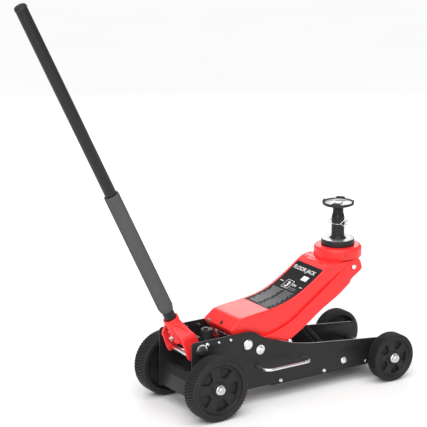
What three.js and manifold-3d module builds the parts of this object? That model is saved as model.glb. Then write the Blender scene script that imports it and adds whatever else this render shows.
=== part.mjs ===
// Hydraulic floor jack, off-road trolley pattern, 3 ton class.
// Millimetres, +X towards the front (saddle end), +Y to the left, +Z up, wheels standing on Z = 0.
// Inside the jack group every place is counted from the rear axle; the group is then moved so
// that the origin lies under the middle of the whole jack.

import * as THREE from "three";
import * as BufferGeometryUtils from "three/addons/utils/BufferGeometryUtils.js";
import Module from "manifold-3d";

const wasm = await Module();
wasm.setup();

// ---------------------------------------------------------------- driving dimensions

const REAR_AXLE_X = -85.4;
const FIT = 0.3;
const SIDES = [["right", -1], ["left", 1]];

const REAR_WHEEL = { x: 0, radius: 107.5, innerY: 122.7, outerY: 182, webY: 170, hubRadius: 24 };
const FRONT_WHEEL = { x: 702, radius: 82, innerY: 129.3, outerY: 180, webY: 170, hubRadius: 21 };
const AXLE_RADIUS = 10;
const HUB_FACE_Y = 176;

const PLATE_OUTER_Y = 99.8;
const PLATE_INNER_Y = 94.8;
const PLATE_BOTTOM_Z = 54;

const ARM_PIVOT = { x: 157.4, z: 209.5 };
const ARM_FRONT = { x: 594, z: 397 };
const FRONT_PIN_RADIUS = 8.5;
const LINK_OFFSET = { x: -2, z: -36 };
const RAM_PIN = { x: 290, z: 180 };
const TRUNNION = { x: 92, z: 104 };
const SPRING_ROD = { x: 400, z: 240 };
const SPACER_ROD = { x: 546.3, z: 82.2 };
const STOP_BOLT = { x: 206.2, z: 184.1 };

const SHELL_OUTER_Y = 77;
const SHELL_INNER_Y = 72;
const BAND_INNER_Y = SHELL_OUTER_Y + FIT;
const BAND_OUTER_Y = 85.5;
const SHOULDER_OUTER_Y = 83;

const SADDLE_X = 588.5;
const SADDLE_TURN = THREE.MathUtils.degToRad(-45);
const LOCK_PIN_Z = 533;

const SOCKET_PIVOT = { x: -20.9, z: 223 };
const HANDLE_LEAN = THREE.MathUtils.degToRad(26.1);
const HANDLE_OFFSET = -8;
const HANDLE_RADIUS = 19.5;
const PLUNGER_TILT = THREE.MathUtils.degToRad(10);

// ---------------------------------------------------------------- materials

function finish(color, roughness, metalness) {
  return new THREE.MeshStandardMaterial({ color, roughness, metalness });
}

const blackPaint = finish(0x2a2a2c, 0.45, 0.1);
const redPaint = finish(0xe0242a, 0.35, 0.1);
const zinc = finish(0xc9ccd0, 0.3, 0.9);
const steel = finish(0x9a9da2, 0.35, 0.9);
const castIron = finish(0x303034, 0.6, 0.4);
const composite = finish(0x232325, 0.6, 0);
const foam = finish(0x4c4c4e, 0.95, 0);
const plastic = finish(0x1b1b1d, 0.5, 0);
const springSteel = finish(0x8b8e92, 0.4, 0.9);

// ---------------------------------------------------------------- geometry helpers

function toSolid(geometry) {
  const bare = geometry.clone();
  bare.deleteAttribute("normal");
  bare.deleteAttribute("uv");
  const merged = BufferGeometryUtils.mergeVertices(bare, 1e-4);
  return new wasm.Manifold(new wasm.Mesh({
    numProp: 3,
    vertProperties: new Float32Array(merged.attributes.position.array),
    triVerts: new Uint32Array(merged.index.array),
  }));
}

function toGeometry(solid) {
  const mesh = solid.getMesh();
  const geometry = new THREE.BufferGeometry();
  geometry.setAttribute("position", new THREE.BufferAttribute(mesh.vertProperties, 3));
  geometry.setIndex(new THREE.BufferAttribute(mesh.triVerts, 1));
  geometry.computeVertexNormals();
  return geometry;
}

function carve(joined, removed = []) {
  let solid = toSolid(joined[0]);
  for (const piece of joined.slice(1)) {
    solid = solid.add(toSolid(piece));
  }
  for (const piece of removed) {
    solid = solid.subtract(toSolid(piece));
  }
  return toGeometry(solid);
}

// An outline drawn in X and Z, made solid from one Y to another.
function plateAcross(shape, fromY, toY, curveSegments = 6) {
  const low = Math.min(fromY, toY);
  const high = Math.max(fromY, toY);
  const geometry = new THREE.ExtrudeGeometry(shape, {
    depth: high - low,
    bevelEnabled: false,
    curveSegments,
  });
  return geometry.rotateX(Math.PI / 2).translate(0, high, 0);
}

function boxBetween(low, high) {
  const [x0, y0, z0] = low;
  const [x1, y1, z1] = high;
  const box = new THREE.BoxGeometry(x1 - x0, y1 - y0, z1 - z0);
  return box.translate((x0 + x1) / 2, (y0 + y1) / 2, (z0 + z1) / 2);
}

// A rod lying along Y.
function rodAcross(radius, fromY, toY, at, segments = 20) {
  const rod = new THREE.CylinderGeometry(radius, radius, Math.abs(toY - fromY), segments);
  return rod.translate(at.x, (fromY + toY) / 2, at.z);
}

// A turned piece whose axis lies along Y: profile points are [radius, y].
function turnedAcross(profile, at, segments = 24) {
  const points = profile.map(([radius, y]) => new THREE.Vector2(radius, y));
  return new THREE.LatheGeometry(points, segments).translate(at.x, 0, at.z);
}

// A turned piece whose axis is vertical: profile points are [radius, z].
function turnedUpright(profile, segments = 24) {
  const points = profile.map(([radius, z]) => new THREE.Vector2(radius, z));
  return new THREE.LatheGeometry(points, segments).rotateX(Math.PI / 2);
}

// A turned piece whose axis lies along X: profile points are [radius, x].
function turnedAlong(profile, segments = 24) {
  const points = profile.map(([radius, x]) => new THREE.Vector2(radius, x));
  return new THREE.LatheGeometry(points, segments).rotateZ(-Math.PI / 2);
}

function outlineOf(points) {
  return new THREE.Shape(points.map(([x, z]) => new THREE.Vector2(x, z)));
}

function circlePoints(at, radius, sides) {
  const points = [];
  for (let i = 0; i < sides; i += 1) {
    const angle = (2 * Math.PI * i) / sides;
    points.push(new THREE.Vector2(at.x + radius * Math.cos(angle), at.z + radius * Math.sin(angle)));
  }
  return points;
}

function roundHole(at, radius, sides = 18) {
  return new THREE.Path(circlePoints(at, radius, sides));
}

function wireSection(radius, sides) {
  return new THREE.Shape(circlePoints({ x: 0, z: 0 }, radius, sides));
}

function sorted(side, a, b) {
  return side > 0 ? [a, b] : [-b, -a];
}

function addPart(parent, name, geometry, material) {
  const mesh = new THREE.Mesh(geometry, material);
  mesh.name = name;
  parent.add(mesh);
  return mesh;
}

const part = new THREE.Group();
const jack = new THREE.Group();
jack.position.x = REAR_AXLE_X;
part.add(jack);

// ---------------------------------------------------------------- chassis

const REAR_AXLE = { x: REAR_WHEEL.x, z: REAR_WHEEL.radius };
const FRONT_AXLE = { x: FRONT_WHEEL.x, z: FRONT_WHEEL.radius };

const PLATE_HOLES = [
  [ARM_PIVOT, 15],
  [SOCKET_PIVOT, 9],
  [REAR_AXLE, AXLE_RADIUS],
  [FRONT_AXLE, AXLE_RADIUS],
  [STOP_BOLT, 6],
  [SPACER_ROD, 7],
];

function sidePlateOutline() {
  const rearX = -58;
  const topZ = 252.5;
  const corner = 12;
  const frontX = 748;
  const shape = new THREE.Shape();
  shape.moveTo(rearX, PLATE_BOTTOM_Z);
  shape.lineTo(rearX, topZ - corner);
  shape.absarc(rearX + corner, topZ - corner, corner, Math.PI, Math.PI / 2, true);
  shape.lineTo(160, topZ);
  shape.bezierCurveTo(198, 250, 205, 222, 265, 207);
  shape.lineTo(308, 192.5);
  shape.lineTo(339, 182);
  shape.lineTo(405, 168.5);
  shape.lineTo(472, 160.5);
  shape.lineTo(562, 150);
  shape.lineTo(722, 132.7);
  shape.quadraticCurveTo(frontX, 130, frontX, 108);
  shape.lineTo(frontX, 72);
  shape.quadraticCurveTo(frontX, PLATE_BOTTOM_Z, frontX - 18, PLATE_BOTTOM_Z);
  shape.closePath();
  for (const [at, radius] of PLATE_HOLES) {
    shape.holes.push(roundHole(at, radius + FIT));
  }
  return shape;
}

function makeChassisPlates() {
  for (const [label, side] of SIDES) {
    const [low, high] = sorted(side, PLATE_INNER_Y, PLATE_OUTER_Y);
    addPart(jack, `side_plate_${label}`, plateAcross(sidePlateOutline(), low, high, 8), blackPaint);
  }
}

// Tray under the frame: a floor with two low flanges inside the side plates.
function makeSkidPlate() {
  const rearX = 248;
  const frontX = 742;
  const floorZ = 49;
  const sheet = 3.5;
  const flangeTop = 70;
  const flangeOuter = PLATE_INNER_Y - FIT;
  const floorTop = PLATE_BOTTOM_Z - FIT;
  const floor = boxBetween([rearX, -PLATE_OUTER_Y, floorZ], [frontX, PLATE_OUTER_Y, floorTop]);
  const flanges = SIDES.map(([, side]) => {
    const [low, high] = sorted(side, flangeOuter - sheet, flangeOuter);
    return boxBetween([rearX, low, floorZ + 1], [frontX, high, flangeTop]);
  });
  const relief = boxBetween([rearX - 1, -88, floorZ + sheet], [frontX + 1, 88, PLATE_BOTTOM_Z + 1]);
  addPart(jack, "skid_plate", carve([floor, ...flanges], [relief]), blackPaint);
}

function makeRearCrossPanel() {
  const halfWidth = PLATE_INNER_Y - FIT;
  const outline = outlineOf([
    [-43, 138], [-54, 112], [-54, 58], [-50, 58], [-50, 111], [-39.2, 136.4],
  ]);
  addPart(jack, "rear_cross_panel", plateAcross(outline, -halfWidth, halfWidth), blackPaint);
}

function makeTieRods() {
  const spacerEnd = 106;
  const spacer = rodAcross(7, -spacerEnd, spacerEnd, SPACER_ROD, 14);
  addPart(jack, "front_spacer_rod", spacer, zinc);
  for (const [label, side] of SIDES) {
    const profile = [[0, 87.3], [11, 87.3], [11, PLATE_INNER_Y - FIT], [6, PLATE_INNER_Y - FIT],
      [6, PLATE_OUTER_Y + FIT], [16.5, PLATE_OUTER_Y + FIT], [16.5, 103], [11, 103], [11, 112], [0, 112]];
    const bolt = turnedAcross(profile, { x: 0, z: 0 }, 18);
    if (side < 0) {
      bolt.rotateZ(Math.PI);
    }
    const mesh = addPart(jack, `stop_bolt_${label}`, bolt, zinc);
    mesh.position.set(STOP_BOLT.x, 0, STOP_BOLT.z);
  }
}

// U-shaped lifting bar on each side plate.
function makeGrabHandles() {
  const rod = 4.8;
  const reach = 152;
  const footZ = [134, 130];
  const footX = [187, 369];
  const bend = 22;
  const section = wireSection(rod, 8);
  for (const [label, side] of SIDES) {
    const point = (x, y, z) => new THREE.Vector3(x, side * y, z);
    const path = new THREE.CurvePath();
    const cornerA = point(footX[0], reach, footZ[0]);
    const cornerB = point(footX[1], reach, footZ[1]);
    const legA = point(footX[0], reach - bend, footZ[0]);
    const legB = point(footX[1], reach - bend, footZ[1]);
    const barA = point(footX[0] + bend, reach, footZ[0]);
    const barB = point(footX[1] - bend, reach, footZ[1]);
    path.add(new THREE.LineCurve3(point(footX[0], PLATE_OUTER_Y + FIT, footZ[0]), legA));
    path.add(new THREE.QuadraticBezierCurve3(legA, cornerA, barA));
    path.add(new THREE.LineCurve3(barA, barB));
    path.add(new THREE.QuadraticBezierCurve3(barB, cornerB, legB));
    path.add(new THREE.LineCurve3(legB, point(footX[1], PLATE_OUTER_Y + FIT, footZ[1])));
    const bar = new THREE.ExtrudeGeometry(section, {
      steps: 30,
      bevelEnabled: false,
      extrudePath: path,
    });
    addPart(jack, `grab_handle_${label}`, bar, zinc);
  }
}

// ---------------------------------------------------------------- wheels and axles

function makeWheel(name, wheel, side) {
  const rim = wheel.radius * 0.78;
  const pocketDepth = 8.6;
  const firstPocket = side < 0 ? 114 : 66;
  const profile = [
    [AXLE_RADIUS + FIT, 101], [wheel.hubRadius, 101], [wheel.hubRadius, wheel.webY - 16],
    [rim, wheel.webY - 16], [rim + 3, wheel.innerY], [wheel.radius - 6, wheel.innerY],
    [wheel.radius, wheel.innerY + 7], [wheel.radius, wheel.outerY - 7],
    [wheel.radius - 6, wheel.outerY], [rim + 3, wheel.outerY], [rim, wheel.webY],
    [wheel.hubRadius, wheel.webY], [wheel.hubRadius, HUB_FACE_Y], [AXLE_RADIUS + FIT, HUB_FACE_Y],
    [AXLE_RADIUS + FIT, 101],
  ];
  const body = turnedAcross(profile, { x: 0, z: 0 }, 24);
  const pockets = [];
  for (let i = 0; i < 5; i += 1) {
    const middle = THREE.MathUtils.degToRad(firstPocket + 72 * i);
    const half = THREE.MathUtils.degToRad(20);
    const pocket = new THREE.Shape();
    pocket.absarc(0, 0, rim * 0.86, middle - half, middle + half, false);
    pocket.absarc(0, 0, rim * 0.48, middle + half * 0.7, middle - half * 0.7, true);
    pocket.closePath();
    pockets.push(plateAcross(pocket, wheel.webY - pocketDepth, wheel.webY + 4, 3));
  }
  const geometry = carve([body], pockets);
  if (side < 0) {
    geometry.rotateZ(Math.PI);
  }
  const mesh = addPart(jack, name, geometry, composite);
  mesh.position.set(wheel.x, 0, wheel.radius);
}

function makeAxleNut(name, wheel, side) {
  const hex = new THREE.Shape(circlePoints({ x: 0, z: 0 }, 15, 6));
  hex.holes.push(roundHole({ x: 0, z: 0 }, AXLE_RADIUS + FIT));
  const [low, high] = sorted(side, HUB_FACE_Y + 0.5, HUB_FACE_Y + 10.5);
  const nut = addPart(jack, name, plateAcross(hex, low, high), zinc);
  nut.position.set(wheel.x, 0, wheel.radius);
}

function makeRunningGear() {
  const axleEnd = HUB_FACE_Y + 13;
  addPart(jack, "rear_axle", rodAcross(AXLE_RADIUS, -axleEnd, axleEnd, REAR_AXLE, 16), steel);
  addPart(jack, "front_axle", rodAcross(AXLE_RADIUS, -axleEnd, axleEnd, FRONT_AXLE, 16), steel);
  for (const [label, side] of SIDES) {
    makeWheel(`rear_wheel_${label}`, REAR_WHEEL, side);
    makeWheel(`front_wheel_${label}`, FRONT_WHEEL, side);
    makeAxleNut(`rear_axle_nut_${label}`, REAR_WHEEL, side);
    makeAxleNut(`front_axle_nut_${label}`, FRONT_WHEEL, side);
  }
}

// ---------------------------------------------------------------- hydraulic unit

const BARREL_START = 30;
const BORE_END = 86;

// The pump plunger's own frame: the origin is the back face of its head, +X the way it is pushed.
const plungerFrame = new THREE.Group();
plungerFrame.position.set(-21.4, 0, 191.7);
plungerFrame.rotation.y = PLUNGER_TILT;
jack.add(plungerFrame);
plungerFrame.updateMatrix();

function makePumpBlock() {
  const halfWidth = 34;
  const casting = outlineOf([[14, 68], [54, 68], [54, 146], [84, 152], [84, 196], [35, 196],
    [34, 234], [14, 234]]);
  const lug = new THREE.Shape();
  lug.moveTo(30, 84);
  lug.lineTo(TRUNNION.x, TRUNNION.z - 18);
  lug.absarc(TRUNNION.x, TRUNNION.z, 18, -Math.PI / 2, Math.PI / 2, false);
  lug.lineTo(30, 124);
  lug.closePath();
  const barrel = turnedAlong([[0, BARREL_START], [14, BARREL_START], [14, BARREL_START + 16],
    [0, BARREL_START + 16]], 16);
  barrel.applyMatrix4(plungerFrame.matrix);
  const boreRadius = 8.4;
  const boreStart = BARREL_START - 2;
  const bore = turnedAlong([[0, boreStart], [boreRadius, boreStart], [boreRadius, BORE_END], [0, BORE_END]], 16);
  bore.applyMatrix4(plungerFrame.matrix);
  const valveBore = turnedAlong([[0, 8], [6.4, 8], [6.4, 28], [0, 28]], 14).translate(0, 0, 222);
  const sideTrim = SIDES.map(([, side]) => {
    const [low, high] = sorted(side, 14, halfWidth + 1);
    return boxBetween([10, low, 196], [35, high, 240]);
  });
  const geometry = carve(
    [
      plateAcross(casting, -halfWidth, halfWidth),
      plateAcross(lug, -43, -31, 5),
      plateAcross(lug, 31, 43, 5),
      barrel,
    ],
    [bore, valveBore, ...sideTrim, rodAcross(9.3, -50, 50, TRUNNION, 18)],
  );
  addPart(jack, "pump_block", geometry, castIron);
}

function makeReservoir() {
  const radius = 21.4;
  const lowZ = 196.3;
  const topZ = 254;
  const body = turnedUpright([[0, lowZ], [radius, lowZ], [radius, topZ - 4], [radius - 3, topZ],
    [0, topZ]], 24);
  addPart(jack, "oil_reservoir", body.translate(64, 0, 0), castIron);
  const plugRadius = 8;
  const plugTop = topZ + 5;
  const plug = turnedUpright([[0, topZ + FIT], [plugRadius, topZ + FIT], [plugRadius, plugTop],
    [0, plugTop]], 6);
  addPart(jack, "oil_filler_plug", plug.translate(60, 0, 0), zinc);
}

// Everything here is drawn with the ram's axis along X and the trunnion at the origin.
const ramLine = new THREE.Group();
ramLine.position.set(TRUNNION.x, 0, TRUNNION.z);
ramLine.rotation.y = -Math.atan2(RAM_PIN.z - TRUNNION.z, RAM_PIN.x - TRUNNION.x);
jack.add(ramLine);
const RAM_LENGTH = Math.hypot(RAM_PIN.x - TRUNNION.x, RAM_PIN.z - TRUNNION.z);

function makeRam() {
  const origin = { x: 0, z: 0 };
  const tube = turnedAlong([[0, -22], [28, -22], [28, 130], [15.4, 130], [15.4, 118], [19.2, 118],
    [19.2, 16], [0, 16]], 24);
  addPart(ramLine, "ram_cylinder", carve([tube], [rodAcross(9.4, -40, 40, origin, 18)]), castIron);

  const rodBack = RAM_LENGTH - 143;
  const rod = turnedAlong([[0, rodBack], [14, rodBack], [14, RAM_LENGTH - 6], [0, RAM_LENGTH - 6]], 20);
  const pinSeat = { x: RAM_LENGTH, z: 0 };
  const eye = rodAcross(18, -20, 20, pinSeat, 24);
  const waist = turnedAlong([[9, rodBack - 2], [20, rodBack - 2], [20, rodBack + 20],
    [9, rodBack + 20], [9, rodBack - 2]], 16);
  const rodBody = carve([rod, eye], [waist, rodAcross(9.4, -30, 30, pinSeat, 18)]);
  addPart(ramLine, "ram_rod", rodBody, steel);
  const piston = turnedAlong([[9.3, rodBack + 0.5], [18.2, rodBack + 0.5], [18.2, rodBack + 19.6],
    [9.3, rodBack + 19.6], [9.3, rodBack + 0.5]], 20);
  addPart(ramLine, "ram_piston", piston, steel);
}

function makePump() {
  const plunger = turnedAlong([[0, 0], [12, 0], [12, 5], [8, 5], [8, 60], [0, 60]], 18);
  addPart(plungerFrame, "pump_plunger", plunger, steel);
  const spring = turnedAlong([[9.4, 5.4], [12.6, 5.4], [12.6, 29.6], [9.4, 29.6], [9.4, 5.4]], 14);
  addPart(plungerFrame, "pump_spring", spring, springSteel);
  const stem = turnedAlong([[0, -6], [6, -6], [6, 27], [0, 27]], 14);
  const crossBar = boxBetween([-10, -4, -10], [-5, 4, 10]);
  const valve = addPart(jack, "release_valve_stem", carve([stem, crossBar]), steel);
  valve.position.set(0, 0, 222);
}

// ---------------------------------------------------------------- lift arm

function armPlateOutline() {
  const shape = new THREE.Shape();
  shape.moveTo(165, 235);
  shape.lineTo(200, 226);
  shape.lineTo(238, 219);
  shape.splineThru([
    new THREE.Vector2(282, 228),
    new THREE.Vector2(347, 252),
    new THREE.Vector2(390, 281),
    new THREE.Vector2(444, 317),
    new THREE.Vector2(504, 359),
    new THREE.Vector2(557, 395),
    new THREE.Vector2(591, 418),
  ]);
  shape.lineTo(618, 424);
  shape.quadraticCurveTo(632, 386, 605, 369);
  shape.lineTo(587, 358);
  shape.splineThru([
    new THREE.Vector2(578, 342),
    new THREE.Vector2(529, 307),
    new THREE.Vector2(461, 268),
    new THREE.Vector2(387, 218),
    new THREE.Vector2(326, 183),
  ]);
  shape.quadraticCurveTo(302, 152, 276, 158);
  shape.lineTo(172, 190);
  shape.absarc(ARM_PIVOT.x, ARM_PIVOT.z, 25, -0.9, 1.26, true);
  shape.closePath();
  shape.holes.push(roundHole(ARM_PIVOT, 15 + FIT));
  shape.holes.push(roundHole(RAM_PIN, 9 + FIT));
  shape.holes.push(roundHole(ARM_FRONT, FRONT_PIN_RADIUS + FIT));
  return shape;
}

function makeArmPlates() {
  for (const [label, side] of SIDES) {
    const [low, high] = sorted(side, BAND_INNER_Y, BAND_OUTER_Y);
    addPart(jack, `arm_plate_${label}`, plateAcross(armPlateOutline(), low, high, 2), redPaint);
  }
}

// Pressed cover of the arm: top skin and side walls, open underneath and at the front.
function makeArmShell() {
  const collarSweep = 96;
  const discSweep = 106;
  const discHalfWidth = 49;
  const collarSideSweep = 58;
  const skin = 5;
  const top = [[112, 277], [143, 293], [223, 303], [318, 319], [402, 356], [480, 408], [508, 421]];
  const outer = new THREE.Shape();
  outer.moveTo(121, 236);
  outer.quadraticCurveTo(98, 264, top[0][0], top[0][1]);
  for (const [x, z] of top.slice(1)) {
    outer.lineTo(x, z);
  }
  outer.lineTo(580, 421);
  outer.lineTo(562, 399);
  outer.lineTo(504, 359);
  outer.lineTo(500, 340);
  outer.lineTo(444, 300);
  outer.lineTo(390, 264);
  outer.lineTo(347, 236);
  outer.lineTo(282, 208);
  outer.lineTo(176, 192);
  outer.absarc(ARM_PIVOT.x, ARM_PIVOT.z, 25, -0.75, -Math.PI, true);
  outer.closePath();
  const inner = new THREE.Shape();
  inner.moveTo(126, 230);
  inner.quadraticCurveTo(104, 264, top[0][0] + skin, top[0][1] - 4);
  for (const [x, z] of top.slice(1)) {
    inner.lineTo(x + 1, z - skin);
  }
  inner.lineTo(600, 421 - skin);
  inner.lineTo(600, 150);
  inner.lineTo(126, 150);
  inner.closePath();
  const noseCorner = boxBetween([80, -SHELL_INNER_Y, 150], [140, SHELL_INNER_Y, 234]);
  // Each shoulder thickens the side wall above the arm plate; its front end runs on beside the yoke.
  const shoulder = outlineOf([[126, 236], [108, 262], ...top, [536, 421], [536, 385], [504, 362],
    [444, 320.5], [390, 284.5], [347, 256], [282, 232], [238, 222.5], [200, 229.5], [165, 238.5]]);
  const shoulderFront = outlineOf([[530, 421], [590, 421], [586, 418], [557, 398.5], [530, 380.5]]);
  const shoulders = SIDES.flatMap(([, side]) => {
    const [low, high] = sorted(side, SHELL_OUTER_Y - 1, SHOULDER_OUTER_Y);
    const [frontLow, frontHigh] = sorted(side, BAND_INNER_Y, SHOULDER_OUTER_Y);
    return [plateAcross(shoulder, low, high), plateAcross(shoulderFront, frontLow, frontHigh)];
  });
  const geometry = carve(
    [plateAcross(outer, -SHELL_OUTER_Y, SHELL_OUTER_Y), ...shoulders],
    [
      plateAcross(inner, -SHELL_INNER_Y, SHELL_INNER_Y),
      noseCorner,
      rodAcross(collarSweep, -SHELL_INNER_Y, SHELL_INNER_Y, ARM_FRONT, 40),
      rodAcross(discSweep, -discHalfWidth, discHalfWidth, ARM_FRONT, 40),
      rodAcross(collarSideSweep, -SHELL_OUTER_Y - FIT, SHELL_OUTER_Y + FIT, ARM_FRONT, 28),
      rodAcross(15 + FIT, -100, 100, ARM_PIVOT, 20),
    ],
  );
  addPart(jack, "lift_arm_shell", geometry, redPaint);
}

function makeArmPins() {
  const shaftEnd = 106;
  const waistEnd = 70;
  const shaft = [[0, -shaftEnd], [15, -shaftEnd], [15, -waistEnd], [11, -waistEnd], [11, waistEnd],
    [15, waistEnd], [15, shaftEnd], [0, shaftEnd]];
  addPart(jack, "lift_arm_shaft", turnedAcross(shaft, ARM_PIVOT, 24), zinc);
  addPart(jack, "ram_pin", rodAcross(9, -BAND_OUTER_Y, BAND_OUTER_Y, RAM_PIN, 18), steel);
  const pinEnd = BAND_OUTER_Y + 2;
  addPart(jack, "arm_front_pin", rodAcross(FRONT_PIN_RADIUS, -pinEnd, pinEnd, ARM_FRONT, 20), zinc);
  const rodEnd = SHELL_INNER_Y - FIT;
  addPart(jack, "spring_rod", rodAcross(5, -rodEnd, rodEnd, SPRING_ROD, 12), steel);
}

function makeReturnSprings() {
  const run = new THREE.Vector3(SPRING_ROD.x - SPACER_ROD.x, 0, SPRING_ROD.z - SPACER_ROD.z);
  const length = run.length();
  const ends = 10;
  for (const [label, side] of SIDES) {
    const profile = [[3.5, ends], [6.5, ends], [6.5, length - ends], [3.5, length - ends], [3.5, ends]];
    const spring = addPart(jack, `return_spring_${label}`, turnedAlong(profile, 10), springSteel);
    spring.position.set(SPACER_ROD.x, side * 40, SPACER_ROD.z);
    spring.rotation.y = -Math.atan2(run.z, run.x);
  }
}

// Two bars that keep the saddle yoke level, one each side.
function makeLevelingLinks() {
  const rear = { x: ARM_PIVOT.x + LINK_OFFSET.x, z: ARM_PIVOT.z + LINK_OFFSET.z };
  const front = { x: ARM_FRONT.x + LINK_OFFSET.x, z: ARM_FRONT.z + LINK_OFFSET.z };
  const length = Math.hypot(front.x - rear.x, front.z - rear.z);
  const eye = 11;
  const bar = new THREE.Shape();
  bar.moveTo(eye, -7);
  bar.lineTo(length - eye, -7);
  bar.absarc(length, 0, eye, -2.4, 2.4, false);
  bar.lineTo(eye, 7);
  bar.absarc(0, 0, eye, 0.75, 2 * Math.PI - 0.75, false);
  bar.closePath();
  bar.holes.push(roundHole({ x: 0, z: 0 }, 7 + FIT));
  bar.holes.push(roundHole({ x: length, z: 0 }, 7 + FIT));
  for (const [label, side] of SIDES) {
    const [low, high] = sorted(side, 60, 66);
    const link = addPart(jack, `leveling_link_${label}`, plateAcross(bar, low, high, 5), steel);
    link.position.set(rear.x, 0, rear.z);
    link.rotation.y = -Math.atan2(front.z - rear.z, front.x - rear.x);
    const pin = rodAcross(7, side * 58.5, side * (PLATE_INNER_Y - FIT), rear, 14);
    addPart(jack, `link_anchor_pin_${label}`, pin, steel);
  }
  addPart(jack, "leveling_pin_front", rodAcross(7, -66.5, 66.5, front, 14), steel);
}

// ---------------------------------------------------------------- saddle

const COLLAR_TOP = 458;
const COLLAR_RADIUS = 77;

function makeSaddleYoke() {
  const collarBottom = 386;
  const flange = turnedUpright([[0, collarBottom], [COLLAR_RADIUS - 4, collarBottom],
    [COLLAR_RADIUS - 4, 414], [COLLAR_RADIUS, 414], [COLLAR_RADIUS, COLLAR_TOP - 16],
    [COLLAR_RADIUS - 5, COLLAR_TOP - 5], [COLLAR_RADIUS - 16, COLLAR_TOP],
    [0, COLLAR_TOP]], 32).translate(SADDLE_X, 0, 0);
  const lugs = new THREE.Shape();
  lugs.moveTo(556, 400);
  lugs.lineTo(566, 372);
  lugs.quadraticCurveTo(570, 346, 592, 346);
  lugs.quadraticCurveTo(614, 346, 618, 372);
  lugs.lineTo(622, 400);
  lugs.closePath();
  const front = { x: ARM_FRONT.x + LINK_OFFSET.x, z: ARM_FRONT.z + LINK_OFFSET.z };
  const boreFloor = 411;
  const boreRadius = 19.4;
  const bore = turnedUpright([[0, boreFloor], [boreRadius, boreFloor], [boreRadius, COLLAR_TOP + 1],
    [0, COLLAR_TOP + 1]], 24).translate(SADDLE_X, 0, 0);
  const geometry = carve(
    [flange, plateAcross(lugs, -58, 58, 5)],
    [
      bore,
      rodAcross(FRONT_PIN_RADIUS + 0.4, -90, 90, ARM_FRONT, 20),
      rodAcross(7 + FIT, -90, 90, front, 14),
    ],
  );
  addPart(jack, "saddle_yoke", geometry, redPaint);
}

const saddleFrame = new THREE.Group();
saddleFrame.position.x = SADDLE_X;
saddleFrame.rotation.z = SADDLE_TURN;
jack.add(saddleFrame);

function makeSaddle() {
  const pinHole = turnedAlong([[0, -60], [5, -60], [5, 60], [0, 60]], 12).translate(0, 0, LOCK_PIN_Z);
  const postRadius = 18;
  const socketRadius = postRadius + 0.4;
  const discRadius = 57;
  const base = turnedUpright([[0, 412], [19, 412], [19, COLLAR_TOP + FIT],
    [discRadius, COLLAR_TOP + FIT], [discRadius, 479.5], [27, 480], [22, 486], [22, 554], [19.6, 565],
    [socketRadius, 565], [socketRadius, 490], [0, 490]], 24);
  addPart(saddleFrame, "saddle_base", carve([base], [pinHole]), blackPaint);
  const post = turnedUpright([[0, 490.4], [postRadius, 490.4], [postRadius, 585.7], [0, 585.7]], 24);
  addPart(saddleFrame, "extension_post", carve([post], [pinHole]), blackPaint);
  const dish = turnedUpright([[0, 586], [24, 586], [50, 591], [53, 594], [53, 605], [47.5, 605],
    [45, 599.5], [14, 599.5], [12, 603], [0, 603]], 24);
  const tabs = [];
  for (let i = 0; i < 4; i += 1) {
    const tab = boxBetween([46.8, -16, 600], [52.2, 16, 610]);
    tabs.push(tab.rotateZ((i * Math.PI) / 2));
  }
  addPart(saddleFrame, "saddle_dish", carve([dish, ...tabs]), castIron);
}

// Pull pin through the sleeve and post, with a wire bail that snaps round the sleeve.
function makeLockPin() {
  const pin = turnedAlong([[0, -29], [4.5, -29], [4.5, 25], [8, 25], [8, 34], [0, 34]], 14);
  addPart(saddleFrame, "lock_pin", pin.translate(0, 0, LOCK_PIN_Z), zinc);
  const section = wireSection(1.5, 6);
  const at = (x, y) => new THREE.Vector3(x, y, LOCK_PIN_Z);
  const path = new THREE.CatmullRomCurve3([
    at(31, -10), at(27, -16), at(18, -24), at(4, -29.5),
    at(-12, -28), at(-24, -19), at(-31, -8), at(-32, 1),
  ]);
  const bail = new THREE.ExtrudeGeometry(section, {
    steps: 18,
    bevelEnabled: false,
    extrudePath: path,
  });
  addPart(saddleFrame, "lock_pin_bail", bail, springSteel);
}

// ---------------------------------------------------------------- handle

// The socket's own frame: origin on its pivot, +Z up along the handle, +X to the front.
const handleFrame = new THREE.Group();
handleFrame.position.set(SOCKET_PIVOT.x, 0, SOCKET_PIVOT.z);
handleFrame.rotation.y = -HANDLE_LEAN;
jack.add(handleFrame);

const SOCKET_RIM = 108;
const CHEEK_OUTER_Y = 66;
const CHEEK_INNER_Y = 56;
const ROLLER = { x: -22, z: -22 };

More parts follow.
